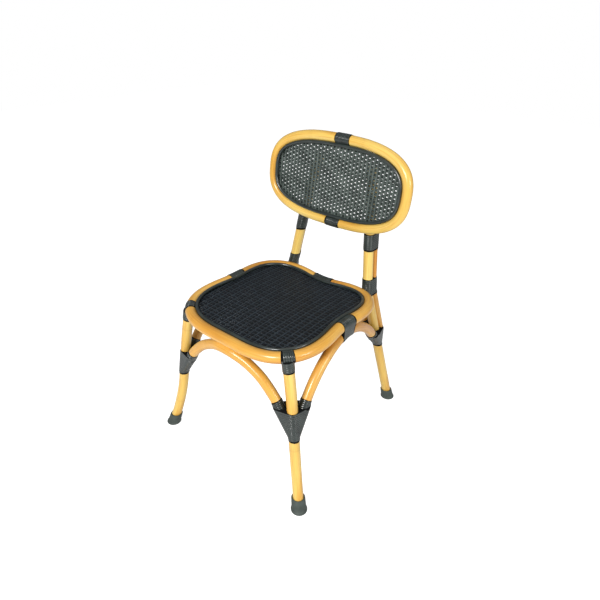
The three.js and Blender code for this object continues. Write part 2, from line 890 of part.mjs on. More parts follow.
function side_arch(side, name) {
  const arch = pole(side_arch_path(side), arch_pole_radius, arch_steps);
  const legs = [leg_room(side), post_room(side)];
  const webs = [front_joint_stations(side), rear_joint_stations(side)].map((stations) => web_room(stations));
  const arches = [front_arch_room, rear_arch_room];
  return cut(arch, [ring_room, ...legs, ...webs, ...arches, bore_for(name + "_arch_dowel")]);
}

function back_rail(side, name) {
  const rail = pole(rail_path(side), back_pole_radius, rail_steps);
  const bores = ["back_dowel_top", "back_dowel_bottom", "back_post_dowel_" + name];
  return cut(rail, bores.map(bore_for));
}

// A thin panel that fills a rim: rows of its upper face, then the same rows of its lower face
function panel(inside, rows, count) {
  const upper = [];
  const lower = [];
  for (let row = rows; row >= 1; row--) {
    for (let i = 0; i < count; i++) {
      const angle = (i / count) * 2 * Math.PI;
      upper.push(inside(angle, row / rows, 1));
      lower.push(inside(angle, row / rows, -1));
    }
  }
  upper.push(inside(0, 0, 1));
  lower.push(inside(0, 0, -1));
  const positions = [...upper, ...lower].flatMap((p) => [p.x, p.y, p.z]);
  const face = upper.length;
  const index = [];
  for (let row = 0; row < rows; row++) {
    for (let i = 0; i < count; i++) {
      const a = row * count + i;
      const b = row * count + ((i + 1) % count);
      const inner_a = row + 1 < rows ? a + count : face - 1;
      const inner_b = row + 1 < rows ? b + count : face - 1;
      index.push(a, b, inner_b);
      index.push(face + b, face + a, face + inner_b);
      if (inner_a !== inner_b) {
        index.push(a, inner_b, inner_a);
        index.push(face + a, face + inner_a, face + inner_b);
      }
      if (row === 0) index.push(b, a, face + a, b, face + a, face + b);
    }
  }
  return solid(geometry_from(positions, index));
}

// The panels lie just above their rim's centre, and the welts rest on their edges.
const welt_apart = welt_radius + welt_clearance;
const welt_inward = (pole_radius, angle) => (pole_radius + welt_apart) * Math.cos(angle);
const welt_lift = (pole_radius, angle) => (pole_radius + welt_apart) * Math.sin(angle);
const panel_top = (pole_radius, angle) => welt_lift(pole_radius, angle) - welt_radius - clearance;

function seat_panel() {
  const count = ring_steps;
  const top = panel_top(seat_pole_radius, seat_welt_angle);
  const inside = (angle, reach, face) => {
    const edge = beside(seat_rim, angle, up, seat_pole_radius + panel_edge_clearance, 0);
    const flat = seat_surface(angle, reach);
    const z = flat.z + top + ((face - 1) * panel_thickness) / 2;
    return new THREE.Vector3(edge.x * reach, edge.y * reach, z);
  };
  const plate = panel(inside, panel_rows, count);
  return cut(plate, [ring_room, ...ring_binding_rooms()]);
}

function ring_binding_rooms() {
  const sides = [1, -1].map((side) => taut_room(side_ring_stations(side)));
  const straps = [1, -1].map((side) => strap(side, clearance));
  return [...sides, taut_room(rear_ring_stations()), ...straps];
}

function seat_welt() {
  const inward = welt_inward(seat_pole_radius, seat_welt_angle);
  const lift = welt_lift(seat_pole_radius, seat_welt_angle);
  const gap = welt_joint_gap / 2 / seat_radius;
  const path = new Path((t) => beside(seat_rim, Math.PI + gap + t * 2 * (Math.PI - gap), up, inward, lift));
  return cut(pole(path, welt_radius, ring_steps, welt_sides), [ring_room, ...ring_binding_rooms()]);
}

const back_front = new THREE.Vector3(0, -Math.cos(back_tilt), Math.sin(back_tilt));

function back_panel() {
  const middle = panel_top(back_pole_radius, back_welt_angle) - back_panel_thickness / 2;
  const inside = (angle, reach, face) => {
    const edge = beside(back_rim, angle, back_front, back_pole_radius + panel_edge_clearance, 0);
    const height = (edge.z - back_level) / Math.cos(back_tilt);
    const point = back_sheet(edge.x * reach, height * reach, depth_of_back);
    return point.addScaledVector(back_front, middle + (face * back_panel_thickness) / 2);
  };
  const plate = panel(inside, panel_rows, rail_steps * 2);
  return cut(plate, back_rooms());
}

function back_rooms() {
  return [rail_room(1), rail_room(-1), back_wrap(true, clearance), back_wrap(false, clearance)];
}

function back_welt() {
  const inward = welt_inward(back_pole_radius, back_welt_angle);
  const lift = welt_lift(back_pole_radius, back_welt_angle);
  const start = -Math.PI / 2;
  const gap = welt_joint_gap / 2 / back_half_height;
  const turn = 2 * (Math.PI - gap);
  const path = new Path((t) => beside(back_rim, start + gap + t * turn, back_front, inward, lift));
  return cut(pole(path, welt_radius, rail_steps * 2, welt_sides), back_rooms());
}

function leg_wrap(side) {
  const leg = leg_line(side);
  const from = share_at(leg, "z", leg_wrap_bottom);
  return cut(sleeve(leg, from, 1, leg_pole_radius, strap_rows), [strap(side, clearance), ring_room]);
}

function corner_strap(side) {
  return cut(strap(side), [leg_room(side), ring_room]);
}

function side_ring_wrap(side) {
  return taut_sleeve(side_ring_stations(side));
}

function rear_ring_wrap() {
  return taut_sleeve(rear_ring_stations());
}

function post_wrap_low(side) {
  return cut(taut_sleeve(post_stations(side, post_wrap_low_bottom, post_wrap_low_top)), [ring_room]);
}

function post_wrap_high(side) {
  return taut_sleeve(post_stations(side, post_wrap_high_bottom, post_wrap_high_top));
}

function front_joint_wrap(side) {
  return taut_sleeve(front_joint_stations(side));
}

function rear_joint_wrap(side) {
  return taut_sleeve(rear_joint_stations(side));
}

// The sleeve on one arch starts at the edge of the web, where the arch comes out of it.
function arch_sleeve(line, from_start, web_top, stations) {
  const end = arch_end(line, from_start);
  const length = end.getLength();
  const edge = share_at(end, "z", web_top);
  const from = edge - arch_sleeve_overlap / length;
  const to = edge + arch_sleeve_length / length;
  return cut(sleeve(end, from, to, arch_pole_radius, strap_rows), [taut_room(stations)]);
}

function foot_cap(leg, leg_room_of) {
  const heights = [0, cap_edge, cap_flange_height, cap_flange_height + cap_edge, cap_height];
  const body_radius = cap_top_radius + cap_edge;
  const radii = [cap_foot_radius - cap_edge, cap_foot_radius, cap_foot_radius, body_radius, cap_top_radius];
  const rows = heights.map((level, row) => {
    const at = crossing(leg, "z", level);
    const outline = polygon(radii[row], wrap_sides);
    return outline.map((p) => new THREE.Vector3(at.x + p.x, at.y + p.y, level));
  });
  const pocket = leg_room_of.subtract(below(cap_floor - clearance));
  return cut(skin(rows), [pocket]);
}

// Assembly

const chair = new THREE.Group();

function add(name, body, material) {
  const mesh = new THREE.Mesh(geometry_of(body), material);
  mesh.name = name;
  chair.add(mesh);
}

add("seat_ring", seat_ring(), rattan);
add("seat_panel", seat_panel(), weave);
add("seat_welt", seat_welt(), strip);
add("front_arch", front_arch(), rattan);
add("rear_arch", rear_arch(), rattan);
add("rear_ring_wrap", rear_ring_wrap(), strip);
add("back_panel", back_panel(), cane);
add("back_welt", back_welt(), strip);
add("back_wrap_top", back_wrap(true), strip);
add("back_wrap_bottom", back_wrap(false), strip);

for (const [side, name] of [
  [1, "right"],
  [-1, "left"],
]) {
  add("front_leg_" + name, front_leg(side, name), rattan);
  add("rear_post_" + name, rear_post(side, name), rattan);
  add("rear_brace_" + name, rear_brace(side), rattan);
  add("side_arch_" + name, side_arch(side, name), rattan);
  add("back_rail_" + name, back_rail(side, name), rattan);
  add("corner_strap_" + name, corner_strap(side), strip);
  add("leg_wrap_" + name, leg_wrap(side), strip);
  add("ring_wrap_" + name, side_ring_wrap(side), strip);
  add("post_wrap_low_" + name, post_wrap_low(side), strip);
  add("post_wrap_high_" + name, post_wrap_high(side), strip);
  add("front_joint_wrap_" + name, front_joint_wrap(side), strip);
  add("rear_joint_wrap_" + name, rear_joint_wrap(side), strip);
  const side_line = side_arch_line(side);
  const front_ends = [front_web_top, front_joint_stations(side)];
  const rear_ends = [rear_web_top, rear_joint_stations(side)];
  const sleeves = {
    front_arch_sleeve: arch_sleeve(front_arch_line, side < 0, ...front_ends),
    rear_arch_sleeve: arch_sleeve(rear_arch_line, side < 0, ...rear_ends),
    side_sleeve_front: arch_sleeve(side_line, true, ...front_ends),
    side_sleeve_rear: arch_sleeve(side_line, false, ...rear_ends),
  };
  for (const [kind, body] of Object.entries(sleeves)) add(kind + "_" + name, body, strip);
  add("front_cap_" + name, foot_cap(front_leg_path(side), leg_room(side)), rubber);
  add("rear_cap_" + name, foot_cap(post_path(side), post_room(side)), rubber);
}

for (const [name, { ends, radius }] of Object.entries(dowels)) {
  add(name, dowel(ends[0], ends[1], radius), hardwood);
}

// The frame's origin is the middle of the chair's plan, on the floor.
chair.updateMatrixWorld(true);
const box = new THREE.Box3().setFromObject(chair, true);
const middle = box.getCenter(new THREE.Vector3());
chair.position.set(-middle.x, -middle.y, -box.min.z);

export default chair;
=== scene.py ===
# %% [markdown]
# # A rattan bistro chair
# The chair is made of bent cane poles lashed with black strip. Its seat is a close weave,
# its oval back an open one, and its feet stand in rubber caps.
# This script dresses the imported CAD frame. Every visible piece is built again here at full
# detail, from the same sizes and in the same place, and stands for its CAD node. The sizes
# repeat the values that drive the solids, so nothing is fitted by eye.

# %% Load the frame
import bpy
import json
import math
import numpy as np
from mathutils import Matrix


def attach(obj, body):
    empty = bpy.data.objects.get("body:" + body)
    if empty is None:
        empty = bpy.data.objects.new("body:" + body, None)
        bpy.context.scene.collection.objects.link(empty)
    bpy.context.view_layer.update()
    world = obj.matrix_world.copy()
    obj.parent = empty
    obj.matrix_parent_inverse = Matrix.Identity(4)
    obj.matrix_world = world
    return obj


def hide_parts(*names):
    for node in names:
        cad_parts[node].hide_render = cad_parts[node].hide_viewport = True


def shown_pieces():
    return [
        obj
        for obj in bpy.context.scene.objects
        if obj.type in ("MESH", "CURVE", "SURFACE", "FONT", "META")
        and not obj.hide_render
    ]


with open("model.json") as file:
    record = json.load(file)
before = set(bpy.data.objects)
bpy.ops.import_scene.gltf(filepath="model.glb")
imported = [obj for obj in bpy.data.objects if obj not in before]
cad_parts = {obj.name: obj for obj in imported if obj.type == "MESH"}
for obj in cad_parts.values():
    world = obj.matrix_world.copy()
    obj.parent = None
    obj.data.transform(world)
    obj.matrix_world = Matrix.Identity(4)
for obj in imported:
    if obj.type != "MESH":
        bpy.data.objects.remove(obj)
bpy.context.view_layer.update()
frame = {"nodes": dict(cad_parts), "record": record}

# %% [markdown]
# ## Sizes
# All lengths are millimetres in the chair's own frame: +Z up, the chair faces -Y, and the
# seat's middle is at x = 0, y = 0. Blender works in metres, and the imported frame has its
# origin under the middle of the whole chair, so one function turns points from one to the
# other. Each group of sizes stands with the step that first needs it.

# %% Poles, feet and the frame's shift
seat_pole_radius, leg_pole_radius, arch_pole_radius = 15.1, 14.3, 14.0
back_pole_radius, brace_pole_radius = 13.4, 8.5
clearance = 0.3
front_foot_out, front_foot_forward = 258.8, 234.5
SIDES = {"right": 1, "left": -1}
X, Y, Z = 0, 1, 2
RIGHT, BACK, UP = np.eye(3)
foot = next(m for m in frame["record"]["mounts"] if m["name"] == "front_foot_right")
plan_shift = np.array([0, foot["pos_m"][1] * 1000 + front_foot_forward, 0])


def metres(points):
    """Points in the chair's millimetres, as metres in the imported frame."""
    return (np.asarray(points, float) + plan_shift) / 1000


print("the seat's middle lies", round(-plan_shift[1], 2), "mm in front of the frame's origin")

# %% [markdown]
# ## Curves
# A cane pole is bent over steam, so its line flows without corners. Bezier curves could draw
# it, with handles to set by hand. Here a path runs through a few given points as a
# centripetal spline, as in the solids, which makes no loops or cusps. A path is kept as a
# dense row of points, evenly spaced.

# %% Curve tools
PATH_POINTS = 601


def unit(v):
    v = np.asarray(v, float)
    return v / np.linalg.norm(v, axis=-1, keepdims=True)


def resample(points, count, closed=False):
    """The same path with its points evenly spaced."""
    points = np.vstack([points, points[:1]]) if closed else np.asarray(points)
    run = np.r_[0, np.cumsum(np.linalg.norm(np.diff(points, axis=0), axis=1))]
    at = np.linspace(0, run[-1], count, endpoint=not closed)
    return np.stack([np.interp(at, run, points[:, k]) for k in range(points.shape[1])], axis=1)


def spline(points, per_stretch=60):
    """Centripetal Catmull-Rom spline through the points."""
    p = np.asarray(points, float)
    p = np.vstack([2 * p[0] - p[1], p, 2 * p[-1] - p[-2]])
    rows = []
    for a, b, c, d in zip(p, p[1:], p[2:], p[3:]):
        t0 = 0.0
        t1 = t0 + math.sqrt(np.linalg.norm(b - a))
        t2 = t1 + math.sqrt(np.linalg.norm(c - b))
        t3 = t2 + math.sqrt(np.linalg.norm(d - c))
        t = np.linspace(t1, t2, per_stretch, endpoint=False)[:, None]
        ab = (t1 - t) / (t1 - t0) * a + (t - t0) / (t1 - t0) * b
        bc = (t2 - t) / (t2 - t1) * b + (t - t1) / (t2 - t1) * c
        cd = (t3 - t) / (t3 - t2) * c + (t - t2) / (t3 - t2) * d
        abc = (t2 - t) / (t2 - t0) * ab + (t - t0) / (t2 - t0) * bc
        bcd = (t3 - t) / (t3 - t1) * bc + (t - t1) / (t3 - t1) * cd
        rows.append((t2 - t) / (t2 - t1) * abc + (t - t1) / (t2 - t1) * bcd)
    return resample(np.vstack(rows + [p[-2][None]]), PATH_POINTS)


def tangents(path, closed=False):
    if closed:
        return unit(np.roll(path, -1, axis=0) - np.roll(path, 1, axis=0))
    return unit(np.gradient(path, axis=0))


def crossing(path, axis, value):
    """Where a path meets a plane square to an axis, and how squarely it meets it."""
    gap = path[:, axis] - value
    hits = np.nonzero(gap[:-1] * gap[1:] <= 0)[0]
    along = tangents(path)
    if len(hits) == 0:
        near = int(np.argmin(np.abs(gap)))
        return path[near].copy(), abs(along[near][axis])
    i = hits[0]
    share = gap[i] / (gap[i] - gap[i + 1])
    return path[i] * (1 - share) + path[i + 1] * share, abs(along[i][axis])


def length_of(path, closed=False):
    path = np.vstack([path, path[:1]]) if closed else path
    return float(np.linalg.norm(np.diff(path, axis=0), axis=1).sum())


def circle_angles(count):
    """Angles evenly spaced round a circle, from 0."""
    return np.arange(count) * 2 * math.pi / count


def full_turn(count):
    """Angles evenly spaced once round a rim, from minus half a turn."""
    return np.linspace(-math.pi, math.pi, count + 1)[:-1]


def compass(count):
    """Unit directions evenly spaced round a circle."""
    turns = circle_angles(count)
    return np.stack([np.cos(turns), np.sin(turns)], axis=1)


straight = spline([[0, 0, 0], [0, 0, 400], [0, 0, 1000]])
print("a straight metre measures", round(length_of(straight), 3), "mm")

# %% [markdown]
# ## Rims
# The seat's ring is one pole bent into a soft square. Its plan is a circle whose radius is a
# sum of cosines: smooth everywhere, alike on both sides, and given by five numbers. A drawn
# outline would need many more. The back is a superellipse, an oval with fuller corners,
# tilted and gently bent.

# %% Rim of the seat
seat_radius, seat_level, seat_saddle, seat_slope_share = 223, 436, 7, 0.0115
seat_shape_shares = [1, 0.081, 0.0107, 0.0184, -0.0988]


def rim_radius(angle):
    return seat_radius * sum(s * np.cos(n * angle) for n, s in enumerate(seat_shape_shares))


def saddle_level(y, angle, reach):
    """Level of the shallow saddle that ring and weave lie in; reach is 1 at the rim."""
    return seat_level + seat_slope_share * y - seat_saddle * np.cos(2 * angle) * reach ** 2


def seat_rim(angle):
    angle = np.asarray(angle, float)
    radius = rim_radius(angle)
    y = -radius * np.cos(angle)
    return np.stack([radius * np.sin(angle), y, saddle_level(y, angle, 1.0)], axis=-1)


ring = resample(seat_rim(full_turn(1200)), 600, closed=True)
print("the seat's ring is", round(length_of(ring, closed=True)), "mm round")

# %% Rim of the back
back_half_width, back_half_height, back_level, back_exponent = 222, 112.1, 729, 2.757
back_tilt, back_end_forward = math.radians(6.75), 5
back_front = np.array([0, -math.cos(back_tilt), math.sin(back_tilt)])


def oval_radius(angle):
    wide = np.abs(np.cos(angle) / back_half_width) ** back_exponent
    high = np.abs(np.sin(angle) / back_half_height) ** back_exponent
    return (wide + high) ** (-1 / back_exponent)


def back_sheet(x, height, depth):
    forward = back_end_forward * (x / back_half_width) ** 2
    y = depth + height * math.sin(back_tilt) - forward
    return np.stack([x, y, back_level + height * math.cos(back_tilt)], axis=-1)


def back_surface(angle, depth):
    radius = oval_radius(angle)
    return back_sheet(radius * np.cos(angle), radius * np.sin(angle), depth)


def beside(rim, angle, lift_direction, inward, lift):
    """Points beside a rim: inward across it, and lifted square to its plane."""
    step = math.pi / 300
    side = unit(np.cross(lift_direction, rim(angle + step) - rim(angle - step)))
    return rim(angle) + side * inward + lift_direction * lift


print("the back is", 2 * back_half_width, "by", 2 * back_half_height, "mm to its pole's middle")

# %% [markdown]
# ## Paths of the poles
# Legs, posts and arches keep their form as lists of shares: how far a pole has gone across
# when it has climbed or dropped so far. Points in millimetres would draw the same lines, but
# with shares a leg still meets the ring and the floor when a size changes.

# %% Front legs
front_corner_angle = math.radians(42.6)
front_leg_top_outset, front_leg_cope_drop = 5.5, 5
# Shares of height, of the way out and of the way forward.
front_leg_shares = [[0, 1, 1], [0.164, 0.76, 0.669], [0.35, 0.545, 0.415],
                    [0.561, 0.38, 0.271], [0.771, 0.217, 0.134], [1, 0, 0]]


def front_leg_path(side):
    corner = seat_rim(front_corner_angle)
    outward = np.array([math.sin(front_corner_angle), -math.cos(front_corner_angle), 0])
    top = corner + outward * front_leg_top_outset - UP * front_leg_cope_drop
    points = [[side * (top[0] + out * (front_foot_out - top[0])),
               top[1] + ahead * (-front_foot_forward - top[1]), high * top[2]]
              for high, out, ahead in front_leg_shares]
    return spline(points)


legs = {s: front_leg_path(s) for s in SIDES.values()}
print("a front leg is", round(length_of(legs[1])), "mm long")

# %% Rear posts and their braces
post_angle = math.radians(144.2)
rear_foot_out, rear_foot_back, post_housing = 196.3, 323.5, 5.5
post_rise, post_lean_in, post_lean_back = 342, 54, 47
brace_low_level, brace_top_level, brace_direction = 278, 606, (0.27, 0.963)
# Shares of the rise above the ring, of the lean inwards and of the lean back.
post_shares = [[0.076, 0.081, 0.069], [0.234, 0.224, 0.193], [0.33, 0.315, 0.273],
               [0.468, 0.426, 0.397], [0.76, 0.693, 0.742], [0.901, 0.865, 0.897], [1, 1, 1]]
# The post runs straight from the floor to the ring, with points at these shares of the way.
post_straight_shares = [0, 0.3, 0.6, 0.85, 0.96, 1]


def post_path(side):
    edge = seat_rim(post_angle)
    outward = beside(seat_rim, post_angle, UP, -1, 0) - edge
    joint = edge + outward * (seat_pole_radius + leg_pole_radius - post_housing)
    floor = np.array([rear_foot_out, rear_foot_back, 0])
    points = [floor + (joint - floor) * share for share in post_straight_shares]
    points += [joint + np.array([-i * post_lean_in, b * post_lean_back, r * post_rise])
               for r, i, b in post_shares]
    return spline(np.array(points) * [side, 1, 1])


def brace_path(side):
    post = post_path(side)
    along = tangents(post)
    away = np.array([side * brace_direction[0], brace_direction[1], 0])
    square = unit(away - along * (along @ away)[:, None])
    path = post + square * (leg_pole_radius + brace_pole_radius + clearance)
    keep = (post[:, 2] >= brace_low_level) & (post[:, 2] <= brace_top_level)
    return path[keep]


posts = {s: post_path(s) for s in SIDES.values()}
braces = {s: brace_path(s) for s in SIDES.values()}
print("a post is", round(length_of(posts[1])), "mm, its brace", round(length_of(braces[1])), "mm")

# %% How far back the oval lies


def nearest(path_a, path_b):
    return np.linalg.norm(path_a[:, None] - path_b[None], axis=2).min()


def back_depth(halvings=14):
    """How far back the oval lies when its lower edge touches the front of the posts."""
    post = posts[1]
    near, far = post[-1][1], post[-1][1] - back_half_width
    apart = back_pole_radius + leg_pole_radius + clearance
    for _ in range(halvings):
        middle = (near + far) / 2
        lower = back_surface(np.linspace(-math.pi / 2, 0, 300), middle)
        if nearest(lower, post) < apart:
            near = middle
        else:
            far = middle
    return far


depth_of_back = back_depth()


def back_rim(angle):
    return back_surface(np.asarray(angle, float), depth_of_back)


print("the back lies", round(depth_of_back, 2), "mm behind the seat's middle")

# %% Arches
front_arch_end_level, rear_arch_end_level = 228, 243
cross_arch_end_offset, side_arch_front_offset, side_arch_rear_offset = 24, 17, 22
side_arch_crown_back = 12
# Shares of the run from crown to end, of the drop, and of the drift sideways.
cross_arch_shares = [[0, 0, 0], [0.12, 0.016, 0.09], [0.302, 0.09, 0.42], [0.488, 0.201, 0.632],
                     [0.607, 0.293, 0.716], [0.809, 0.52, 0.811], [0.875, 0.63, 0.842],
                     [0.953, 0.819, 0.911], [1, 1, 1]]
side_arch_front_shares = [[0, 0, 0], [0.15, 0.02, 0.21], [0.3, 0.078, 0.37], [0.45, 0.17, 0.5],
                          [0.6, 0.301, 0.62], [0.72, 0.437, 0.73], [0.84, 0.612, 0.84],
                          [0.93, 0.788, 0.93], [1, 1, 1]]
side_arch_rear_shares = [[0, 0, 0], [0.15, 0.026, 0.11], [0.3, 0.096, 0.25], [0.45, 0.199, 0.42],
                         [0.6, 0.33, 0.62], [0.72, 0.46, 0.79], [0.84, 0.625, 0.94],
                         [0.93, 0.794, 1.01], [1, 1, 1]]


def arch_half(crown, end, shares, run, drift):
    points = []
    for run_share, drop, drift_share in shares:
        p = np.zeros(3)
        p[run] = crown[run] + run_share * (end[run] - crown[run])
        p[drift] = crown[drift] + drift_share * (end[drift] - crown[drift])
        p[Z] = crown[Z] + drop * (end[Z] - crown[Z])
        points.append(p)
    return points


def crown_under(angle):
    return seat_rim(angle) - UP * (seat_pole_radius + arch_pole_radius + clearance)


def cross_arch_path(angle, leg, level):
    end = crossing(leg, Z, level)[0] - RIGHT * cross_arch_end_offset
    half = arch_half(crown_under(angle), end, cross_arch_shares, X, Y)
    return spline([p * [-1, 1, 1] for p in half[:0:-1]] + half)


side_crown_angle = math.pi / 2 + side_arch_crown_back / rim_radius(math.pi / 2)


def side_arch_path(side):
    crown = crown_under(side * side_crown_angle)
    front_end = crossing(legs[side], Z, front_arch_end_level)[0] + BACK * side_arch_front_offset
    inward = np.array([side * brace_direction[0], -brace_direction[1], 0])
    rear_end = crossing(posts[side], Z, rear_arch_end_level)[0] + inward * side_arch_rear_offset
    front = arch_half(crown, front_end, side_arch_front_shares, Y, X)
    rear = arch_half(crown, rear_end, side_arch_rear_shares, Y, X)
    return spline(front[:0:-1] + rear)


front_arch = cross_arch_path(0.0, legs[1], front_arch_end_level)
rear_arch = cross_arch_path(math.pi, posts[1], rear_arch_end_level)
side_arches = {s: side_arch_path(s) for s in SIDES.values()}
print("arches:", [round(length_of(path)) for path in (front_arch, rear_arch, side_arches[1])], "mm")

# %% [markdown]
# ## Materials
# Real cane, plastic strip and rubber are never one flat colour: fibres, fine lines and pits
# carry the light. Pictures of them could be laid on, but patterns of noise need none, have no
# seams and stay sharp from near. Colours are sRGB values that one function turns linear. Each
# pattern is scaled in real millimetres, for cane and strip on the piece's own UV map, which
# holds metres.

# %% Material tools


def linear(hex_colour, alpha=1.0):
    channels = [int(hex_colour[i:i + 2], 16) / 255 for i in (1, 3, 5)]
    bent = [c / 12.92 if c <= 0.04045 else ((c + 0.055) / 1.055) ** 2.4 for c in channels]
    return (*bent, alpha)


def add_node(tree, kind, inputs=None, stops=None, **settings):
    """A node with its settings; an input is a value, or an output socket to link.

    Stops are the places and colours of a ramp."""
    node = tree.nodes.new(kind)
    for key, value in settings.items():
        setattr(node, key, value)
    for key, value in (inputs or {}).items():
        if isinstance(value, bpy.types.NodeSocket):
            tree.links.new(value, node.inputs[key])
        else:
            node.inputs[key].default_value = value
    if stops:
        elements = node.color_ramp.elements
        while len(elements) < len(stops):
            elements.new(0.5)
        for element, (place, colour) in zip(elements, stops):
            element.position = place
            element.color = linear(colour)
    return node


def new_material(name):
    material = bpy.data.materials.new(name)
    material.use_nodes = True
    tree = material.node_tree
    tree.nodes.clear()
    return material, tree


def finish(tree, inputs):
    """Ends a material in its shader, with these inputs."""
    shader = add_node(tree, "ShaderNodeBsdfPrincipled", inputs)
    add_node(tree, "ShaderNodeOutputMaterial", {"Surface": shader.outputs["BSDF"]})


def stretched_noise(tree, cells, detail, seed=0.0):
    """Noise with so many cells per metre along and around the piece."""
    uv = add_node(tree, "ShaderNodeUVMap", uv_map="run")
    scaled = add_node(tree, "ShaderNodeVectorMath", {0: uv.outputs["UV"], 1: (*cells, 1)},
                      operation="MULTIPLY")
    moved = add_node(tree, "ShaderNodeVectorMath", {0: scaled.outputs[0], 1: (seed, seed, seed)},
                     operation="ADD")
    noise = add_node(tree, "ShaderNodeTexNoise", {"Vector": moved.outputs[0], "Scale": 1.0,
                                                  "Detail": detail})
    return noise.outputs["Fac"]


print("middle grey in linear light:", round(linear("#808080")[0], 3))

# %% Lacquered cane
# A fibre is drawn about 110 mm long and 2 mm wide. Real ones are finer, but would not show.
# The tone drifts over patches of about 200 by 45 mm.
cane_fibre, cane_drift = (9, 520), (5, 22)


def rattan_material(name, light, middle, deep, seed):
    """Peeled cane under clear lacquer: long fibres, slow drifts of tone, dark growth scars.

    The lacquer lays a soft, clear shine over a slightly uneven surface."""
    material, tree = new_material(name)
    fibres = stretched_noise(tree, cane_fibre, 5, seed)
    drift = stretched_noise(tree, cane_drift, 2, seed + 3)
    tone = add_node(tree, "ShaderNodeValToRGB", {"Fac": drift},
                    stops=[(0.3, deep), (0.52, middle), (0.72, light)])
    streak = add_node(tree, "ShaderNodeValToRGB", {"Fac": fibres},
                      stops=[(0.32, "#c98a3a"), (0.5, "#ffffff"), (1.0, "#ffffff")])
    streaked = add_node(tree, "ShaderNodeMix",
                        {0: 0.42, 6: tone.outputs["Color"], 7: streak.outputs["Color"]},
                        data_type="RGBA", blend_type="MULTIPLY")
    scar = add_node(tree, "ShaderNodeAttribute", attribute_name="scar")
    scarred = add_node(tree, "ShaderNodeMix",
                       {0: scar.outputs["Fac"], 6: streaked.outputs[2], 7: linear("#9a5a20")},
                       data_type="RGBA")
    rough = add_node(tree, "ShaderNodeMapRange", {"Value": fibres, "To Min": 0.27, "To Max": 0.42})
    bump = add_node(tree, "ShaderNodeBump", {"Height": fibres, "Strength": 0.12, "Distance": 0.0004})
    finish(tree, {"Base Color": scarred.outputs[2], "Roughness": rough.outputs["Result"],
                  "Normal": bump.outputs["Normal"], "Specular IOR Level": 0.38,
                  "Coat Weight": 0.5, "Coat Roughness": 0.2})
    return material


# Three tones of cane: pale for legs, posts and the back's oval, honey for braces and side arches,
# amber for the ring and the front and rear arches.
pale_rattan = rattan_material("Rattan pale", "#f6d87a", "#eec562", "#dda53c", 1.0)
honey_rattan = rattan_material("Rattan honey", "#ecbb60", "#dea043", "#c5822c", 7.0)
amber_rattan = rattan_material("Rattan amber", "#f2c266", "#e8b04d", "#cf9033", 13.0)
dowel_wood = rattan_material("Dowel hardwood", "#c99a62", "#b98a52", "#a87a44", 19.0)
print("cane fibres in mm:", [round(1000 / cells, 1) for cells in cane_fibre])

# %% Plastic strip
# Its lines are about 70 mm long and 0.7 mm wide, and its tone drifts over about 33 by 17 mm.
strip_lines, strip_drift = (14, 1400), (30, 60)


def strip_material(name, dark, pale, roughness, coat, specular):
    """Extruded plastic strip: a low shine, broken by fine lines, and a soft drift of tone."""
    material, tree = new_material(name)
    lines = stretched_noise(tree, strip_lines, 3)
    drift = stretched_noise(tree, strip_drift, 2, 5)
    tone = add_node(tree, "ShaderNodeValToRGB", {"Fac": drift}, stops=[(0.3, dark), (0.75, pale)])
    rough = add_node(tree, "ShaderNodeMapRange", {"Value": lines, "To Min": roughness - 0.06,
                                                  "To Max": roughness + 0.1})
    bump = add_node(tree, "ShaderNodeBump", {"Height": lines, "Strength": 0.08, "Distance": 0.0002})
    finish(tree, {"Base Color": tone.outputs["Color"], "Roughness": rough.outputs["Result"],
                  "Normal": bump.outputs["Normal"], "Specular IOR Level": specular,
                  "Coat Weight": coat, "Coat Roughness": 0.2})
    return material


# Each strip: its two tones, its roughness, how much coat it has, and its specular level.
black_strip = strip_material("Binding strip black", "#1b2321", "#343e3b", 0.28, 0.6, 0.6)
seat_strip = strip_material("Seat strip black", "#080b0f", "#10151b", 0.4, 0.0, 0.3)
# The seat's paler slate strip is painted highlight: it stands for light on the weave's crests.
seat_highlight_strip = strip_material("Seat strip painted highlight", "#2a3238", "#3c474f", 0.34, 0.0, 0.4)
cane_strip = strip_material("Back strip grey green", "#3d4743", "#68736e", 0.4, 0.1, 0.4)
# The rear layer's strip is the front one made darker, as painted shade.
painted_shade_strip = strip_material("Back strip painted shade", "#222926", "#3d4743", 0.45, 0.05, 0.3)
# The core's matt black, darker than the strip, is painted shade where it shows between turns; the edge
# bands use it as well.
black_fill_and_groove_shade = strip_material("Black fill and painted groove shade", "#08090a", "#0d0f10", 0.75, 0.0, 0.1)
print("strip lines in mm:", [round(1000 / cells, 1) for cells in strip_lines])

# %% Moulded rubber
pits_per_metre, clouds_per_metre = 900.0, 45.0


def rubber_material(name, dark, pale):
    """Moulded rubber: matt, finely pitted, a little cloudy with dust."""
    material, tree = new_material(name)
    place = add_node(tree, "ShaderNodeTexCoord").outputs["Object"]
    pits = add_node(tree, "ShaderNodeTexNoise", {"Vector": place, "Scale": pits_per_metre,
                                                 "Detail": 3.0})
    cloud = add_node(tree, "ShaderNodeTexNoise", {"Vector": place, "Scale": clouds_per_metre,
                                                  "Detail": 3.0})
    tone = add_node(tree, "ShaderNodeValToRGB", {"Fac": cloud.outputs["Fac"]},
                    stops=[(0.3, dark), (0.7, pale)])
    bump = add_node(tree, "ShaderNodeBump", {"Height": pits.outputs["Fac"], "Strength": 0.3,
                                             "Distance": 0.0004})
    finish(tree, {"Base Color": tone.outputs["Color"], "Normal": bump.outputs["Normal"],
                  "Roughness": 0.62})
    return material


cap_rubber = rubber_material("Cap rubber", "#343c38", "#4a534e")
print("materials so far:", len(bpy.data.materials))

# %% [markdown]
# ## Poles
# A pole is a round tube on its path. Every cane has growth nodes about 300 mm apart, where it
# is a little thicker and carries a thin dark scar, and its radius wanders slightly. A
# bevelled curve would make a tube too. Here the rings of points are set in code, because the
# ends of some poles are pared to fit their bindings.

# %% Directions across a path


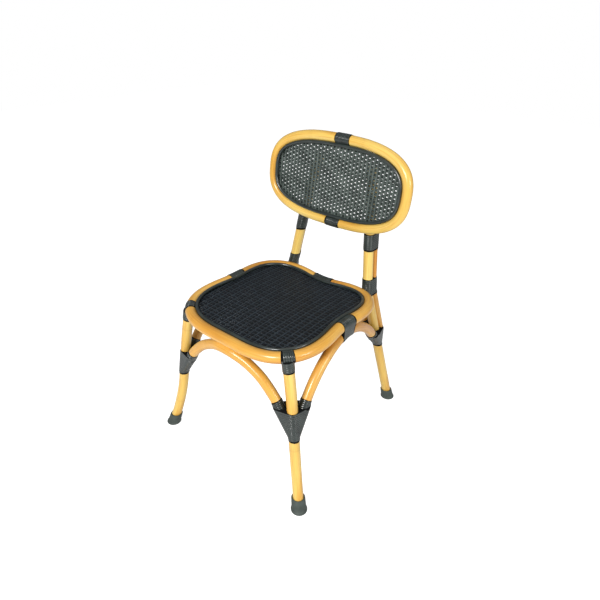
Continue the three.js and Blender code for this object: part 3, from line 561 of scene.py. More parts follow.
def transported(path, closed=False):
    """Directions across a path that turn as little as possible along it."""
    along = tangents(path, closed)
    first = np.cross(along[0], UP if abs(along[0][2]) < 0.9 else RIGHT)
    across = [unit(first)]
    for t in along[1:]:
        across.append(unit(across[-1] - t * (across[-1] @ t)))
    across = np.array(across)
    if closed:
        last = across[-1] - along[0] * (across[-1] @ along[0])
        over = np.cross(along[0], across[0])
        twist = math.atan2(unit(last) @ over, unit(last) @ across[0])
        turn = -twist * np.arange(len(path)) / len(path)
        overs = np.cross(along, across)
        across = across * np.cos(turn)[:, None] + overs * np.sin(turn)[:, None]
    return along, across, np.cross(along, across)


print("the right leg's direction at its foot:", np.round(tangents(legs[1])[0], 2))

# %% Mesh tools


def mesh_object(name, points, faces, material, uv=None, scar=None):
    """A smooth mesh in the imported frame; uv is one pair per face corner, in metres."""
    mesh = bpy.data.meshes.new(name)
    mesh.from_pydata(metres(points).tolist(), [], faces)
    mesh.materials.append(material)
    mesh.polygons.foreach_set("use_smooth", [True] * len(mesh.polygons))
    if uv is not None:
        layer = mesh.uv_layers.new(name="run")
        layer.data.foreach_set("uv", np.asarray(uv, np.float32).ravel())
    if scar is not None:
        marks = mesh.attributes.new("scar", "FLOAT", "POINT")
        marks.data.foreach_set("value", np.asarray(scar, np.float32))
    mesh.validate()
    obj = bpy.data.objects.new(name, mesh)
    bpy.context.collection.objects.link(obj)
    return obj


def dress(obj, slot, *nodes):
    """The piece rides on the chair and stands for its CAD nodes; slot is not used."""
    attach(obj, "root")
    if nodes:
        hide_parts(*nodes)
    return obj


def skin(rows, count, closed=False):
    """Four-sided faces over rows of points, each row a ring of so many."""
    return [(i * count + j, i * count + (j + 1) % count,
             (i + 1) % rows * count + (j + 1) % count, (i + 1) % rows * count + j)
            for i in range(rows if closed else rows - 1) for j in range(count)]


def end_faces(rows, count):
    """The two faces that close a skin of rows, both facing outwards."""
    return [tuple(range(count - 1, -1, -1)), tuple((rows - 1) * count + j for j in range(count))]


print("a ring of 32 points has", len(skin(2, 32)), "faces to the next")

# %% Tubes


def tube_grid(path, radii, sides, closed):
    """The points of a tube: one ring of so many sides at each point of its path."""
    _, across, over = transported(path, closed)
    angle = circle_angles(sides)
    around = (across[:, None] * np.cos(angle)[None, :, None]
              + over[:, None] * np.sin(angle)[None, :, None])
    return path[:, None] + around * radii[:, None, None]


def tube(name, path, radii, material, sides, closed=False, scar=None, shape=None):
    """A tube of rings, closed at its ends; shape may move the finished points."""
    grid = tube_grid(path, radii, sides, closed)
    if shape is not None:
        grid = shape(grid)
    rows = len(path)
    run = np.r_[0, np.cumsum(np.linalg.norm(np.diff(path, axis=0), axis=1))] / 1000
    girth = 2 * math.pi * float(np.max(radii)) / 1000
    uv = []
    for i in range(rows if closed else rows - 1):
        u0, u1 = run[i], run[i + 1] if i + 1 < rows else run[-1] + (run[1] - run[0])
        for j in range(sides):
            v0, v1 = girth * j / sides, girth * (j + 1) / sides
            uv += [(u0, v0), (u0, v1), (u1, v1), (u1, v0)]
    faces = skin(rows, sides, closed)
    if not closed:
        faces += end_faces(rows, sides)
        end_radius = girth / 6
        uv += 2 * [(end_radius * math.cos(a), end_radius * math.sin(a)) for a in circle_angles(sides)]
    scars = None if scar is None else np.repeat(scar, sides)
    return mesh_object(name, grid.reshape(-1, 3), faces, material, uv, scars)


thin_tube = tube_grid(straight, np.full(len(straight), 5.0), 8, False)
print("a straight tube of 8 sides:", thin_tube.shape[0], "rings of", thin_tube.shape[1], "points")

# %% A pole with its growth nodes
ring_spacing, pole_sides = 4, 32
first_node, node_spacing, node_jitter, node_margin = (60, 200), 290, 25, 20
end_rounding, end_reach = 1.4, 2.5
# Slow waves of the radius: height in mm, run in mm for one radian, share of the seed.
radius_waves = [(0.1, 47, 1), (0.06, 19, 2)]
# At a node: height and reach in mm of the swelling and of its groove, then strength and
# reach of the scar's dark line and of the shade beside it.
swelling, groove = (0.28, 7), (0.2, 2.2)
scar_line, scar_shade, shade_offset = (0.16, 1.9), (0.06, 6), 5


def bell(distance, height, reach):
    return height * np.exp(-(distance / reach) ** 2)


def node_places(total, rng):
    """Places of the growth nodes along a pole, a little irregular."""
    start = rng.uniform(*first_node)
    places = np.arange(start, total - node_margin, node_spacing)
    return places + rng.uniform(-node_jitter, node_jitter, len(places))


def pole(name, path, radius, material, seed, closed=False, shape=None, nodes_at=None):
    """A cane pole with its growth nodes, for the CAD node of its name."""
    total = length_of(path)
    count = int(total / ring_spacing) + 2
    path = resample(path, count, closed)
    run = np.linspace(0, total, count)
    if nodes_at is None:
        nodes_at = node_places(total, np.random.default_rng(seed))
    radii = np.full(count, radius)
    for height, stretch, turn in radius_waves:
        radii = radii + height * np.sin(run / stretch + turn * seed)
    scar = np.zeros(count)
    for at in nodes_at:
        radii += bell(run - at, *swelling) - bell(run - at, *groove)
        scar = np.maximum(scar, bell(run - at, *scar_line))
        scar = np.maximum(scar, bell(run - at - shade_offset, *scar_shade))
    if not closed:
        ease = np.minimum(run, total - run)
        radii -= end_rounding * np.clip(1 - ease / end_reach, 0, 1) ** 2
    cane = tube(name + "_cane", path, radii, material, pole_sides, closed, scar, shape)
    return dress(cane, "rattan", name)


print("growth nodes of a pole 900 mm long:", np.round(node_places(900, np.random.default_rng(1))))

# %% [markdown]
# ## Bindings as taut outlines
# A binding lies tight round one or more poles. A skin could be shrunk on to them with a
# modifier, but a taut strip has a rule of its own: at each station the poles are circles in a
# plane, and the outline is the shortest loop round them, also where they draw apart.

# %% Taut outlines
wrap_ease = 0.35
LOOP_POINTS, least_lean = 96, 0.5


def taut_loop(circles):
    """Evenly spaced points of the shortest loop round circles (a, b, radius), with its ease."""
    direction = compass(360)
    centres = np.array([c[:2] for c in circles])
    radii = np.array([c[2] for c in circles]) + wrap_ease
    reach = direction @ centres.T + radii
    best = np.argmax(reach, axis=1)
    points = centres[best] + direction * radii[best][:, None]
    return resample(points, LOOP_POINTS, closed=True)


def aligned(stations):
    """Turns each outline so that its first point faces the one before it.

    A skin over the outlines then never twists."""
    rows = [stations[0]]
    for loop in stations[1:]:
        turned = [np.roll(loop, -k, axis=0) for k in range(len(loop))]
        misses = [np.sum((candidate - rows[-1]) ** 2) for candidate in turned]
        rows.append(turned[int(np.argmin(misses))])
    return np.array(rows)


def circle_at(path, radius, axis, value, a, b):
    """A pole's circle in a plane square to an axis, wider where the pole leans."""
    at, lean = crossing(path, axis, value)
    return [at[a], at[b], radius / max(lean, least_lean)]


two_poles = taut_loop([(0, 0, 10), (60, 0, 10)])
print("a strip round two poles of 20 mm, 60 mm apart:", round(length_of(two_poles, True)), "mm")

# %% Outlines of the webs
front_levels = dict(bottom=205, flare=214, full=282, top=290)
rear_levels = dict(bottom=237, flare=243, full=292, top=300)


def web_circles(web, level):
    """A leg and its companions at one level; the web opens straight out to them."""
    main = circle_at(web["leg"], leg_pole_radius, Z, level, X, Y)
    share = min(max((level - web["flare"]) / (web["full"] - web["flare"]), 0), 1)
    height = max(level, web["full"])
    near = crossing(web["leg"], Z, height)[0]
    found = [main]
    for path, radius in web["companions"]:
        other = circle_at(path, radius, Z, height, X, Y)
        found.append([main[0] + (other[0] - near[0]) * share,
                      main[1] + (other[1] - near[1]) * share,
                      leg_pole_radius + (other[2] - leg_pole_radius) * share])
    return found


def lower_half(path, from_start):
    """Half of an arch, from one of its ends up to its crown."""
    middle = PATH_POINTS // 2
    return path[:middle + 1] if from_start else path[:middle - 1:-1]


def front_web(side):
    companions = [(lower_half(front_arch, side < 0), arch_pole_radius),
                  (lower_half(side_arches[side], True), arch_pole_radius)]
    return dict(leg=legs[side], companions=companions, **front_levels)


def rear_web(side):
    companions = [(lower_half(rear_arch, side < 0), arch_pole_radius),
                  (lower_half(side_arches[side], False), arch_pole_radius),
                  (braces[side], brace_pole_radius)]
    return dict(leg=posts[side], companions=companions, **rear_levels)


front_webs = {s: front_web(s) for s in SIDES.values()}
rear_webs = {s: rear_web(s) for s in SIDES.values()}
print("poles in a front web:", len(web_circles(front_webs[1], front_levels["top"])),
      "- in a rear web:", len(web_circles(rear_webs[1], rear_levels["top"])))

# %% Rows of outlines


def level_loops(circles_at, bottom, top, rows):
    """Loops in level planes, from a function that gives the circles at a level."""
    stations = []
    for level in np.linspace(bottom, top, rows):
        loop = taut_loop(circles_at(level))
        stations.append(np.column_stack([loop, np.full(len(loop), level)]))
    return aligned(stations)


def upright_loops(circles_at, axis, middle, length, rows):
    """Loops in planes square to X or Y, for a binding round the ring and a crown below it."""
    stations = []
    for value in np.linspace(middle - length / 2, middle + length / 2, rows):
        loop = taut_loop(circles_at(value))
        points = np.zeros((len(loop), 3))
        points[:, axis] = value
        points[:, 1 - axis], points[:, Z] = loop[:, 0], loop[:, 1]
        stations.append(points)
    return aligned(stations)


def sleeve_loops(path, pole_radius, rows):
    """Round loops along a stretch of one pole."""
    path = resample(path, rows)
    return tube_grid(path, np.full(rows, pole_radius + wrap_ease), LOOP_POINTS, False)


print("each row of an outline has", LOOP_POINTS, "points")

# %% [markdown]
# ## A web keeps its poles inside
# The ends of the arches and braces are pared down where a web binds them to a leg, as a maker
# would shave them. A Boolean would cut them too, but it can leave ragged edges. Here the
# points that would stick out are moved in, so the tube stays one clean grid.

# %% Paring
web_reach, paring_depth = 120, 0.5


def pared(*webs):
    """Moves points of a tube inside each web's outline, less half a millimetre."""
    direction = compass(72)

    def shape(grid):
        grid = grid.copy()
        rows, sides = grid.shape[:2]
        for web in webs:
            for i in range(rows):
                low, high = grid[i, :, Z].min(), grid[i, :, Z].max()
                if high < web["bottom"] or low > web["top"]:
                    continue
                near = crossing(web["leg"], Z, grid[i, :, Z].mean())[0]
                if np.linalg.norm(grid[i].mean(axis=0) - near) > web_reach:
                    continue
                for j in range(sides):
                    level = grid[i, j, Z]
                    if level > web["top"]:
                        continue
                    circles = web_circles(web, max(level, web["bottom"]))
                    reach = np.max([direction @ np.array(c[:2]) + c[2] for c in circles], axis=0)
                    for _ in range(2):
                        excess = direction @ grid[i, j, :2] - reach + paring_depth
                        worst = int(np.argmax(excess))
                        if excess[worst] > 0:
                            grid[i, j, :2] -= direction[worst] * excess[worst]
        return grid
    return shape


print("poles are pared within", web_reach, "mm of their leg")

# %% Ring and arches
ring_nodes_at = [205, 480, 610, 905, 1180]
pole("seat_ring", ring, seat_pole_radius, amber_rattan, 3, closed=True, nodes_at=ring_nodes_at)
pole("front_arch", front_arch, arch_pole_radius, amber_rattan, 5,
     shape=pared(front_webs[1], front_webs[-1]))
pole("rear_arch", rear_arch, arch_pole_radius, amber_rattan, 6,
     shape=pared(rear_webs[1], rear_webs[-1]))

# %% Legs, posts and the halves of the back's oval
# The poles stand just above the soles of their caps. A leg stops a few points short of its
# path's end, under the ring. The oval's halves meet beside its middle, inside the bindings.
sole_level, coped_points, back_joint_offset = 5.2, 4, 10
back_joint_angle = math.acos(back_joint_offset / oval_radius(math.pi / 2))
for word, side in SIDES.items():
    seed = 10 if side > 0 else 20
    leg = resample(legs[side][legs[side][:, 2] > sole_level][:-coped_points], 400)
    post = resample(posts[side][posts[side][:, 2] > sole_level], 600)
    pole("front_leg_" + word, leg, leg_pole_radius, pale_rattan, seed)
    pole("rear_post_" + word, post, leg_pole_radius, pale_rattan, seed + 1)
    pole("rear_brace_" + word, braces[side], brace_pole_radius, honey_rattan, seed + 2,
         shape=pared(rear_webs[side]))
    pole("side_arch_" + word, side_arches[side], arch_pole_radius, honey_rattan, seed + 3,
         shape=pared(front_webs[side], rear_webs[side]))
    end = back_joint_angle - clearance / back_half_height
    start = 2 * back_joint_angle - end
    turn = (-end, end) if side > 0 else (start, 2 * math.pi - start)
    rail = resample(back_rim(np.linspace(*turn, 600)), 600)
    pole("back_rail_" + word, rail, back_pole_radius, pale_rattan, seed + 4)

# %% [markdown]
# ## Strip, swept by Geometry Nodes
# The bindings and both weaves are made of one thing, long flat strip. A curve object with a
# bevel could be made for each run, but its flat side would turn with the curve. One group of
# nodes does them all: it turns guide lines into curves, faces them outwards and sweeps a
# rounded profile along them. The guides carry their own outward direction.

# %% The strip's profile


def strip_profile(group, given):
    """A rectangle with rounded corners, or an oval where the strip is domed."""
    flat = add_node(group, "GeometryNodeCurvePrimitiveQuadrilateral",
                    {"Width": given.outputs["Thickness"], "Height": given.outputs["Width"]},
                    mode="RECTANGLE")
    soft = add_node(group, "GeometryNodeFilletCurve",
                    {"Curve": flat.outputs["Curve"], "Radius": given.outputs["Rounding"],
                     "Count": 1, "Limit Radius": True}, mode="POLY")
    circle = add_node(group, "GeometryNodeCurvePrimitiveCircle", {"Resolution": 10, "Radius": 0.5})
    scale = add_node(group, "ShaderNodeCombineXYZ", {"X": given.outputs["Thickness"],
                                                     "Y": given.outputs["Width"], "Z": 1.0})
    dome = add_node(group, "GeometryNodeTransform", {"Geometry": circle.outputs["Curve"],
                                                     "Scale": scale.outputs["Vector"]})
    profile = add_node(group, "GeometryNodeSwitch",
                       {"Switch": given.outputs["Domed"], "False": soft.outputs["Curve"],
                        "True": dome.outputs["Geometry"]}, input_type="GEOMETRY")
    return profile.outputs["Output"]


# %% Strip group


def strip_group():
    """The group of nodes, and the identifier of each of its inputs."""
    group = bpy.data.node_groups.new("Swept strip", "GeometryNodeTree")
    sockets = {}
    wanted = [("Guides", "NodeSocketGeometry", None), ("Width", "NodeSocketFloat", 0.003),
              ("Thickness", "NodeSocketFloat", 0.001), ("Rounding", "NodeSocketFloat", 0.0004),
              ("Domed", "NodeSocketBool", False), ("Material", "NodeSocketMaterial", None)]
    for name, kind, value in wanted:
        socket = group.interface.new_socket(name, in_out="INPUT", socket_type=kind)
        if value is not None:
            socket.default_value = value
        sockets[name] = socket.identifier
    group.interface.new_socket("Strips", in_out="OUTPUT", socket_type="NodeSocketGeometry")
    given = add_node(group, "NodeGroupInput")
    curve = add_node(group, "GeometryNodeMeshToCurve", {"Mesh": given.outputs["Guides"]})
    outward = add_node(group, "GeometryNodeInputNamedAttribute", {"Name": "outward"},
                       data_type="FLOAT_VECTOR")
    faced = add_node(group, "GeometryNodeSetCurveNormal", {"Curve": curve.outputs["Curve"]},
                     mode="FREE")
    group.links.new(outward.outputs["Attribute"], faced.inputs["Normal"])
    swept = add_node(group, "GeometryNodeCurveToMesh",
                     {"Curve": faced.outputs["Curve"], "Profile Curve": strip_profile(group, given),
                      "Fill Caps": True})
    smooth = add_node(group, "GeometryNodeSetShadeSmooth", {"Geometry": swept.outputs["Mesh"]})
    real = add_node(group, "GeometryNodeRealizeInstances", {"Geometry": smooth.outputs["Geometry"]})
    named = add_node(group, "GeometryNodeSetMaterial",
                     {"Geometry": real.outputs["Geometry"], "Material": given.outputs["Material"]})
    add_node(group, "NodeGroupOutput", {0: named.outputs["Geometry"]})
    return group, sockets


sweep, sweep_sockets = strip_group()
print("the strip group has", len(sweep.nodes), "nodes and", len(sweep_sockets), "inputs")

# %% Strips from guides
rounding_share, height_share = 0.42, 0.3


def guide_lines(name, guides):
    """Bare edges that carry their outward directions; guides are (points, directions) in mm."""
    mesh = bpy.data.meshes.new(name + "_guides")
    points = np.vstack([g[0] for g in guides])
    edges, start = [], 0
    for g in guides:
        edges += [(start + i, start + i + 1) for i in range(len(g[0]) - 1)]
        start += len(g[0])
    mesh.from_pydata(metres(points).tolist(), edges, [])
    outward = mesh.attributes.new("outward", "FLOAT_VECTOR", "POINT")
    directions = unit(np.vstack([g[1] for g in guides]))
    outward.data.foreach_set("vector", directions.astype(np.float32).ravel())
    guide = bpy.data.objects.new(name + "_guides", mesh)
    bpy.context.collection.objects.link(guide)
    return guide


def strip_run(mesh):
    """UV in metres from the object's own coordinates.

    The strip's lines are so fine that their direction on it doesn't show."""
    layer = mesh.uv_layers.get("run") or mesh.uv_layers.new(name="run")
    corners = np.empty(len(mesh.loops), np.int64)
    mesh.loops.foreach_get("vertex_index", corners)
    points = np.empty(len(mesh.vertices) * 3, np.float32)
    mesh.vertices.foreach_get("co", points)
    points = points.reshape(-1, 3)[corners]
    x, y, z = points.T
    uv = np.stack([x + z, y + z * height_share], axis=1)
    layer.data.foreach_set("uv", uv.astype(np.float32).ravel())


def swept_strips(name, guides, width, thickness, domed, material, slot, *nodes):
    """One piece of strips along its guides, as a plain mesh. Sizes are in mm."""
    guide = guide_lines(name, guides)
    modifier = guide.modifiers.new("Sweep", "NODES")
    modifier.node_group = sweep
    values = {"Width": width / 1000, "Thickness": thickness / 1000,
              "Rounding": thickness * rounding_share / 1000, "Domed": domed, "Material": material}
    for key, value in values.items():
        modifier[sweep_sockets[key]] = value
    seen = guide.evaluated_get(bpy.context.evaluated_depsgraph_get())
    plain = bpy.data.meshes.new_from_object(seen)
    plain.name = name
    bpy.data.objects.remove(guide)
    obj = bpy.data.objects.new(name, plain)
    bpy.context.collection.objects.link(obj)
    strip_run(plain)
    return dress(obj, slot, *nodes)


print("a strip's corners are rounded by", rounding_share, "of its thickness")

# %% [markdown]
# ## Windings
# A maker winds one long strip round the poles, turn beside turn. Rings side by side would
# look much the same, but one strip that climbs is what the hand makes. On the real chair the
# turns lie close. Here a narrow dark gap is left between them, because otherwise they would
# not show at this size. A thin dark core under the strip fills the gaps and hides the poles.
# Its matt black, darker than the strip, is painted shade of the grooves between turns.

# %% One strip wound round a row of loops
wrap_thickness, core_lift = 1.15, 0.3
turn_thickness, turn_cover = 1.4, 0.84


def wound(loops, pitch, lift):
    """The guide of one strip wound along a row of loops, from its first to its last."""
    rows, count = loops.shape[:2]
    closed = np.concatenate([loops, loops[:, :1]], axis=1)
    middle = loops.mean(axis=1)
    run = np.r_[0, np.cumsum(np.linalg.norm(np.diff(middle, axis=0), axis=1))]
    turns = max(1, round(run[-1] / pitch))
    steps = turns * count
    at = np.linspace(0, run[-1] - run[-1] / turns, steps + 1) + run[-1] / turns / 2
    row = np.interp(at, run, np.arange(rows))
    low = np.minimum(row.astype(int), rows - 2)
    share = (row - low)[:, None]
    column = np.arange(steps + 1) % count
    points = loops[low, column] * (1 - share) + loops[low + 1, column] * share
    ahead = loops[low, (column + 1) % count] - loops[low, column - 1]
    rise = loops[low + 1, column] - loops[low, column]
    outward = unit(np.cross(ahead, rise))
    inside = points - (middle[low] * (1 - share) + middle[low + 1] * share)
    outward *= np.sign(np.sum(outward * inside, axis=1))[:, None]
    return points + outward * lift, outward


def core(name, loops, node):
    """A thin black skin under a winding, closed at both ends; in the gaps it is painted groove shade.
    """
    middle = loops.mean(axis=1, keepdims=True)
    grid = loops + unit(loops - middle) * core_lift
    rows, count = grid.shape[:2]
    faces = skin(rows, count) + end_faces(rows, count)
    uv = np.zeros((sum(len(face) for face in faces), 2))
    return dress(mesh_object(name, grid.reshape(-1, 3), faces, black_fill_and_groove_shade, uv), "strip", node)


def binding(name, loops, pitch, thickness=turn_thickness):
    """One domed strip wound round the loops over a dark core, its crest level with the CAD."""
    core(name + "_core", loops, name)
    points, outward = wound(loops, pitch, wrap_thickness - thickness / 2)
    return swept_strips(name + "_strip", [(points, outward)], pitch * turn_cover, thickness, True,
                        black_strip, "strip", name)


print("a winding stands", wrap_ease + wrap_thickness, "mm proud of its poles")

# %% Bindings of the webs and posts
wrap_pitch, web_rows, post_wrap_rows = 6.1, 30, 14
post_wrap_spans = {"low": (427, 476), "high": (557, 604)}


def web_bindings(word, side):
    for kind, web in (("front", front_webs[side]), ("rear", rear_webs[side])):
        loops = level_loops(lambda z: web_circles(web, z), web["bottom"], web["top"], web_rows)
        binding(f"{kind}_joint_wrap_{word}", loops, wrap_pitch)


def post_bindings(word, side):
    for kind, (low, high) in post_wrap_spans.items():
        loops = level_loops(lambda z: [circle_at(posts[side], leg_pole_radius, Z, z, X, Y),
                                       circle_at(braces[side], brace_pole_radius, Z, z, X, Y)],
                            low, high, post_wrap_rows)
        binding(f"post_wrap_{kind}_{word}", loops, wrap_pitch)


web_height = front_levels["top"] - front_levels["bottom"]
print("a front web has about", round(web_height / wrap_pitch), "turns")

# %% Bindings of the ring and the tops of the legs
ring_wrap_pitch = 5.4
side_ring_wrap_length, side_ring_wrap_rows = 54, 14
corner_strap_width, strap_pitch, strap_thickness = 31, 6.2, 1.8
leg_wrap_bottom, strap_rows, leg_wrap_rows = 397, 10, 10


def quarter_ring(middle_angle, side=1):
    """A quarter of the ring's path, round an angle."""
    return seat_rim(side * (middle_angle - math.pi / 4 + np.linspace(0, 1, 300) * math.pi / 2))


def side_ring_binding(word, side):
    near = quarter_ring(math.pi / 2, side)
    loops = upright_loops(lambda y: [circle_at(near, seat_pole_radius, Y, y, X, Z),
                                     circle_at(side_arches[side], arch_pole_radius, Y, y, X, Z)],
                          Y, seat_rim(side_crown_angle)[Y], side_ring_wrap_length,
                          side_ring_wrap_rows)
    binding("ring_wrap_" + word, loops, ring_wrap_pitch)


def corner_bindings(word, side):
    half = corner_strap_width / 2 / rim_radius(front_corner_angle)
    angles = side * np.linspace(front_corner_angle - half, front_corner_angle + half, 40)
    strap = sleeve_loops(seat_rim(angles), seat_pole_radius, strap_rows)
    binding("corner_strap_" + word, strap, strap_pitch, strap_thickness)
    top = legs[side][legs[side][:, 2] > leg_wrap_bottom]
    binding("leg_wrap_" + word, sleeve_loops(top, leg_pole_radius, leg_wrap_rows), wrap_pitch)


print("a corner strap has", round(corner_strap_width / strap_pitch), "turns")

# %% Sleeves at the ends of the arches
sleeve_length, sleeve_overlap, sleeve_rows = 15, 16, 8


def arch_sleeves(word, side):
    arch_ends = {"front_arch_sleeve": (front_arch, side < 0, front_levels),
                 "rear_arch_sleeve": (rear_arch, side < 0, rear_levels),
                 "side_sleeve_front": (side_arches[side], True, front_levels),
                 "side_sleeve_rear": (side_arches[side], False, rear_levels)}
    for kind, (path, from_start, web_levels) in arch_ends.items():
        half = lower_half(path, from_start)
        step = length_of(half) / (len(half) - 1)
        edge = int(np.argmax(half[:, 2] > web_levels["top"]))
        first = max(edge - round(sleeve_overlap / step), 0)
        stretch = half[first:edge + round(sleeve_length / step) + 1]
        binding(f"{kind}_{word}", sleeve_loops(stretch, arch_pole_radius, sleeve_rows), wrap_pitch)


print("a sleeve is about", sleeve_length + sleeve_overlap, "mm long")

# %% All bindings
rear_ring_wrap_length, rear_ring_wrap_rows = 64, 16
back_wrap_length, back_wrap_pitch, back_wrap_rows = 46, 4.6, 12
for word, side in SIDES.items():
    web_bindings(word, side)
    post_bindings(word, side)
    side_ring_binding(word, side)
    corner_bindings(word, side)
    arch_sleeves(word, side)
near = quarter_ring(math.pi)
loops = upright_loops(lambda x: [circle_at(near, seat_pole_radius, X, x, Y, Z),
                                 circle_at(rear_arch, arch_pole_radius, X, x, Y, Z)],
                      X, 0, rear_ring_wrap_length, rear_ring_wrap_rows)
binding("rear_ring_wrap", loops, ring_wrap_pitch)
for word, sign in (("top", 1), ("bottom", -1)):
    half = back_wrap_length / 2 / oval_radius(math.pi / 2)
    middle = back_joint_angle * sign
    path = back_rim(np.linspace(middle - half, middle + half, 60))
    loops = sleeve_loops(path, back_pole_radius, back_wrap_rows)
    binding("back_wrap_" + word, loops, back_wrap_pitch)

# %% [markdown]
# ## The seat
# A close plain weave of flat strip, stretched across the ring in a shallow saddle. A picture
# of a weave on a flat plate would look dead from the side, so every strip is swept, and rises
# and dips past the ones across it. A thinner paler strip runs over every second gap in both
# directions, which draws the seat's grid. Its paleness is painted highlight, standing for light
# on the crests of the weave. A round welt covers the edge.

# %% Where the weaves lie
welt_radius, welt_clearance, weave_inset = 4.5, 1.2, 0.9
seat_welt_angle, back_welt_angle = math.radians(33), math.radians(25)
panel_thickness, back_panel_thickness = 3.4, 5.6


def panel_middle(pole_radius, welt_angle, thickness):
    """How high a panel's middle lies over the plane of its rim, so that the welt covers it."""
    apart = welt_radius + welt_clearance + pole_radius
    return apart * math.sin(welt_angle) - welt_radius - clearance - thickness / 2


seat_middle = panel_middle(seat_pole_radius, seat_welt_angle, panel_thickness)
back_middle = panel_middle(back_pole_radius, back_welt_angle, back_panel_thickness)
print("over its rim the seat lies", round(seat_middle, 2), "mm, the back", round(back_middle, 2), "mm")

# %% Woven guides
points_per_crossing, flat_crest = 3, 1.25


def chord(outline, offset, across):
    """Where a line square to one axis enters and leaves a closed outline, or None."""
    border = np.vstack([outline, outline[:1]])
    gap = border[:, across] - offset
    hits = np.nonzero((gap[:-1] < 0) != (gap[1:] < 0))[0]
    if len(hits) < 2:
        return None
    share = gap[hits] / (gap[hits] - gap[hits + 1])
    along = 1 - across
    places = border[hits, along] * (1 - share) + border[hits + 1, along] * share
    return places.min(), places.max()


def woven(outline, pitch, other_pitch, across, wave, sway=0.0):
    """Guides of parallel strips that pass over and under the ones across them."""
    furthest = int(np.abs(outline[:, across]).max() / pitch) + 1
    guides = []
    for number in range(-furthest, furthest + 1):
        offset = number * pitch
        span = chord(outline, offset, across)
        if span is None or span[1] - span[0] < 2 * other_pitch:
            continue
        count = int((span[1] - span[0]) / (other_pitch / points_per_crossing)) + 2
        s = np.linspace(*span, count)
        odd = (number + across) % 2
        turn = np.cos(math.pi * s / other_pitch + math.pi * odd)
        beside_line = offset + sway * np.sin(math.pi * (s / other_pitch + odd))
        x, y = (beside_line, s) if across == 0 else (s, beside_line)
        guides.append((x, y, wave * np.clip(flat_crest * turn, -1, 1)))
    return guides


# %% Seat weave
warp_pitch, weft_pitch = 9.05, 6.1
warp_width, weft_width, highlight_warp_width, highlight_weft_width = 8.4, 5.6, 3.2, 2.6
seat_strip_thickness, seat_wave, weave_lift, highlight_lift = 1.0, 0.5, -0.6, 0.6


def seat_height(x, y):
    """Level of the seat's saddle at a point of the plan."""
    angle = np.arctan2(x, -y)
    return saddle_level(y, angle, np.hypot(x, y) / rim_radius(angle))


seat_outline = beside(seat_rim, full_turn(720), UP, seat_pole_radius + weave_inset, 0)[:, :2]


def seat_strips(name, across, pitch, other, width, lift, domed, material):
    """Strips from front to back for across 0, from side to side for across 1."""
    rows = []
    for x, y, rise in woven(seat_outline, pitch, other, across, seat_wave):
        z = seat_height(x, y) + seat_middle + lift + rise
        points = np.stack([x, y, z], axis=1)
        rows.append((points, np.tile(UP, (len(points), 1))))
    swept_strips(name, rows, width, seat_strip_thickness, domed, material, "weave", "seat_panel")
    print(name, "has", len(rows), "strips")


seat_strips("seat_warp", 0, warp_pitch, weft_pitch, warp_width, weave_lift, False, seat_strip)
seat_strips("seat_weft", 1, weft_pitch, warp_pitch, weft_width, weave_lift, False, seat_strip)
# The paler strips over every second gap are painted highlight on the weave's crests.
seat_strips("seat_highlight_warp", 0, 2 * warp_pitch, 2 * weft_pitch, highlight_warp_width, highlight_lift, True,
            seat_highlight_strip)
seat_strips("seat_highlight_weft", 1, 2 * weft_pitch, 2 * warp_pitch, highlight_weft_width, highlight_lift, True,
            seat_highlight_strip)

# %% Edge of the seat
# A dark band closes the weave's edge from below, and a narrow lip does so under the welt.
half_panel = panel_thickness / 2
band_start, band_end = -0.6, 9
lip_start, lip_end, lip_low = -0.9, 4.5, 0.2


def ring_band(name, outer, inner, node, slot):
    """A flat dark band between two rows of points, which closes an edge of a weave."""
    faces = skin(2, len(outer))
    band = mesh_object(name, np.vstack([outer, inner]), faces, black_fill_and_groove_shade,
                       np.zeros((len(faces) * 4, 2)))
    return dress(band, slot, node)


def seat_band_edge(inward, lift):
    edge = beside(seat_rim, full_turn(360), UP, seat_pole_radius + inward, 0)
    edge[:, 2] = seat_height(edge[:, 0], edge[:, 1]) + seat_middle + lift
    return edge


ring_band("seat_edge_band", seat_band_edge(band_start, -half_panel),
          seat_band_edge(band_end, -half_panel), "seat_panel", "weave")
ring_band("seat_edge_lip", seat_band_edge(lip_start, half_panel),
          seat_band_edge(lip_end, lip_low), "seat_panel", "weave")
print("band and lip are", band_end - band_start, "and", lip_end - lip_start, "mm wide")

# %% Welts
welt_gap, welt_sides = 0.5, 16


def welt(name, rim, lift_direction, pole_radius, angle, count):
    """A round edging that lies against the pole, turned up from the rim's plane by an angle."""
    apart = pole_radius + welt_radius + welt_gap
    inward, lift = apart * math.cos(angle), apart * math.sin(angle)
    path = resample(beside(rim, full_turn(count), lift_direction, inward, lift), count, closed=True)
    edging = tube(name + "_edging", path, np.full(count, welt_radius), black_strip, welt_sides, True)
    print(name, "is", round(length_of(path, closed=True)), "mm long")
    return dress(edging, "strip", name)


welt("seat_welt", seat_rim, UP, seat_pole_radius, seat_welt_angle, 360)
welt("back_welt", back_rim, back_front, back_pole_radius, back_welt_angle, 300)

# %% [markdown]
# ## The back
# An open weave of flat strip, through which daylight shows. A plate with a see-through
# pattern would lose the crossings, so both layers are woven. In front, the level strips sway
# as they pass over and under, so the holes stand staggered. A darker, closer layer lies
# behind, with its level strips a little nearer together, so the two drift in and out of step.
# Its darker colour is painted shade. A narrow dark band lies behind the edge.

# %% Back weave
upright_pitch, level_pitch, rear_level_pitch = 11.4, 6.1, 5.33
front_upright_width, front_level_width, rear_upright_width, rear_level_width = 4.2, 1.9, 7.0, 4.2
back_strip_thickness, back_wave, front_level_wave = 0.8, 0.4, 0.5
front_sway, rear_sway = 1.2, 0.8
front_depth, rear_depth = back_middle + 1.6, back_middle - 1.2

edge = beside(back_rim, full_turn(720), back_front, back_pole_radius + weave_inset, 0)
back_outline = np.stack([edge[:, 0], (edge[:, 2] - back_level) / math.cos(back_tilt)], axis=1)


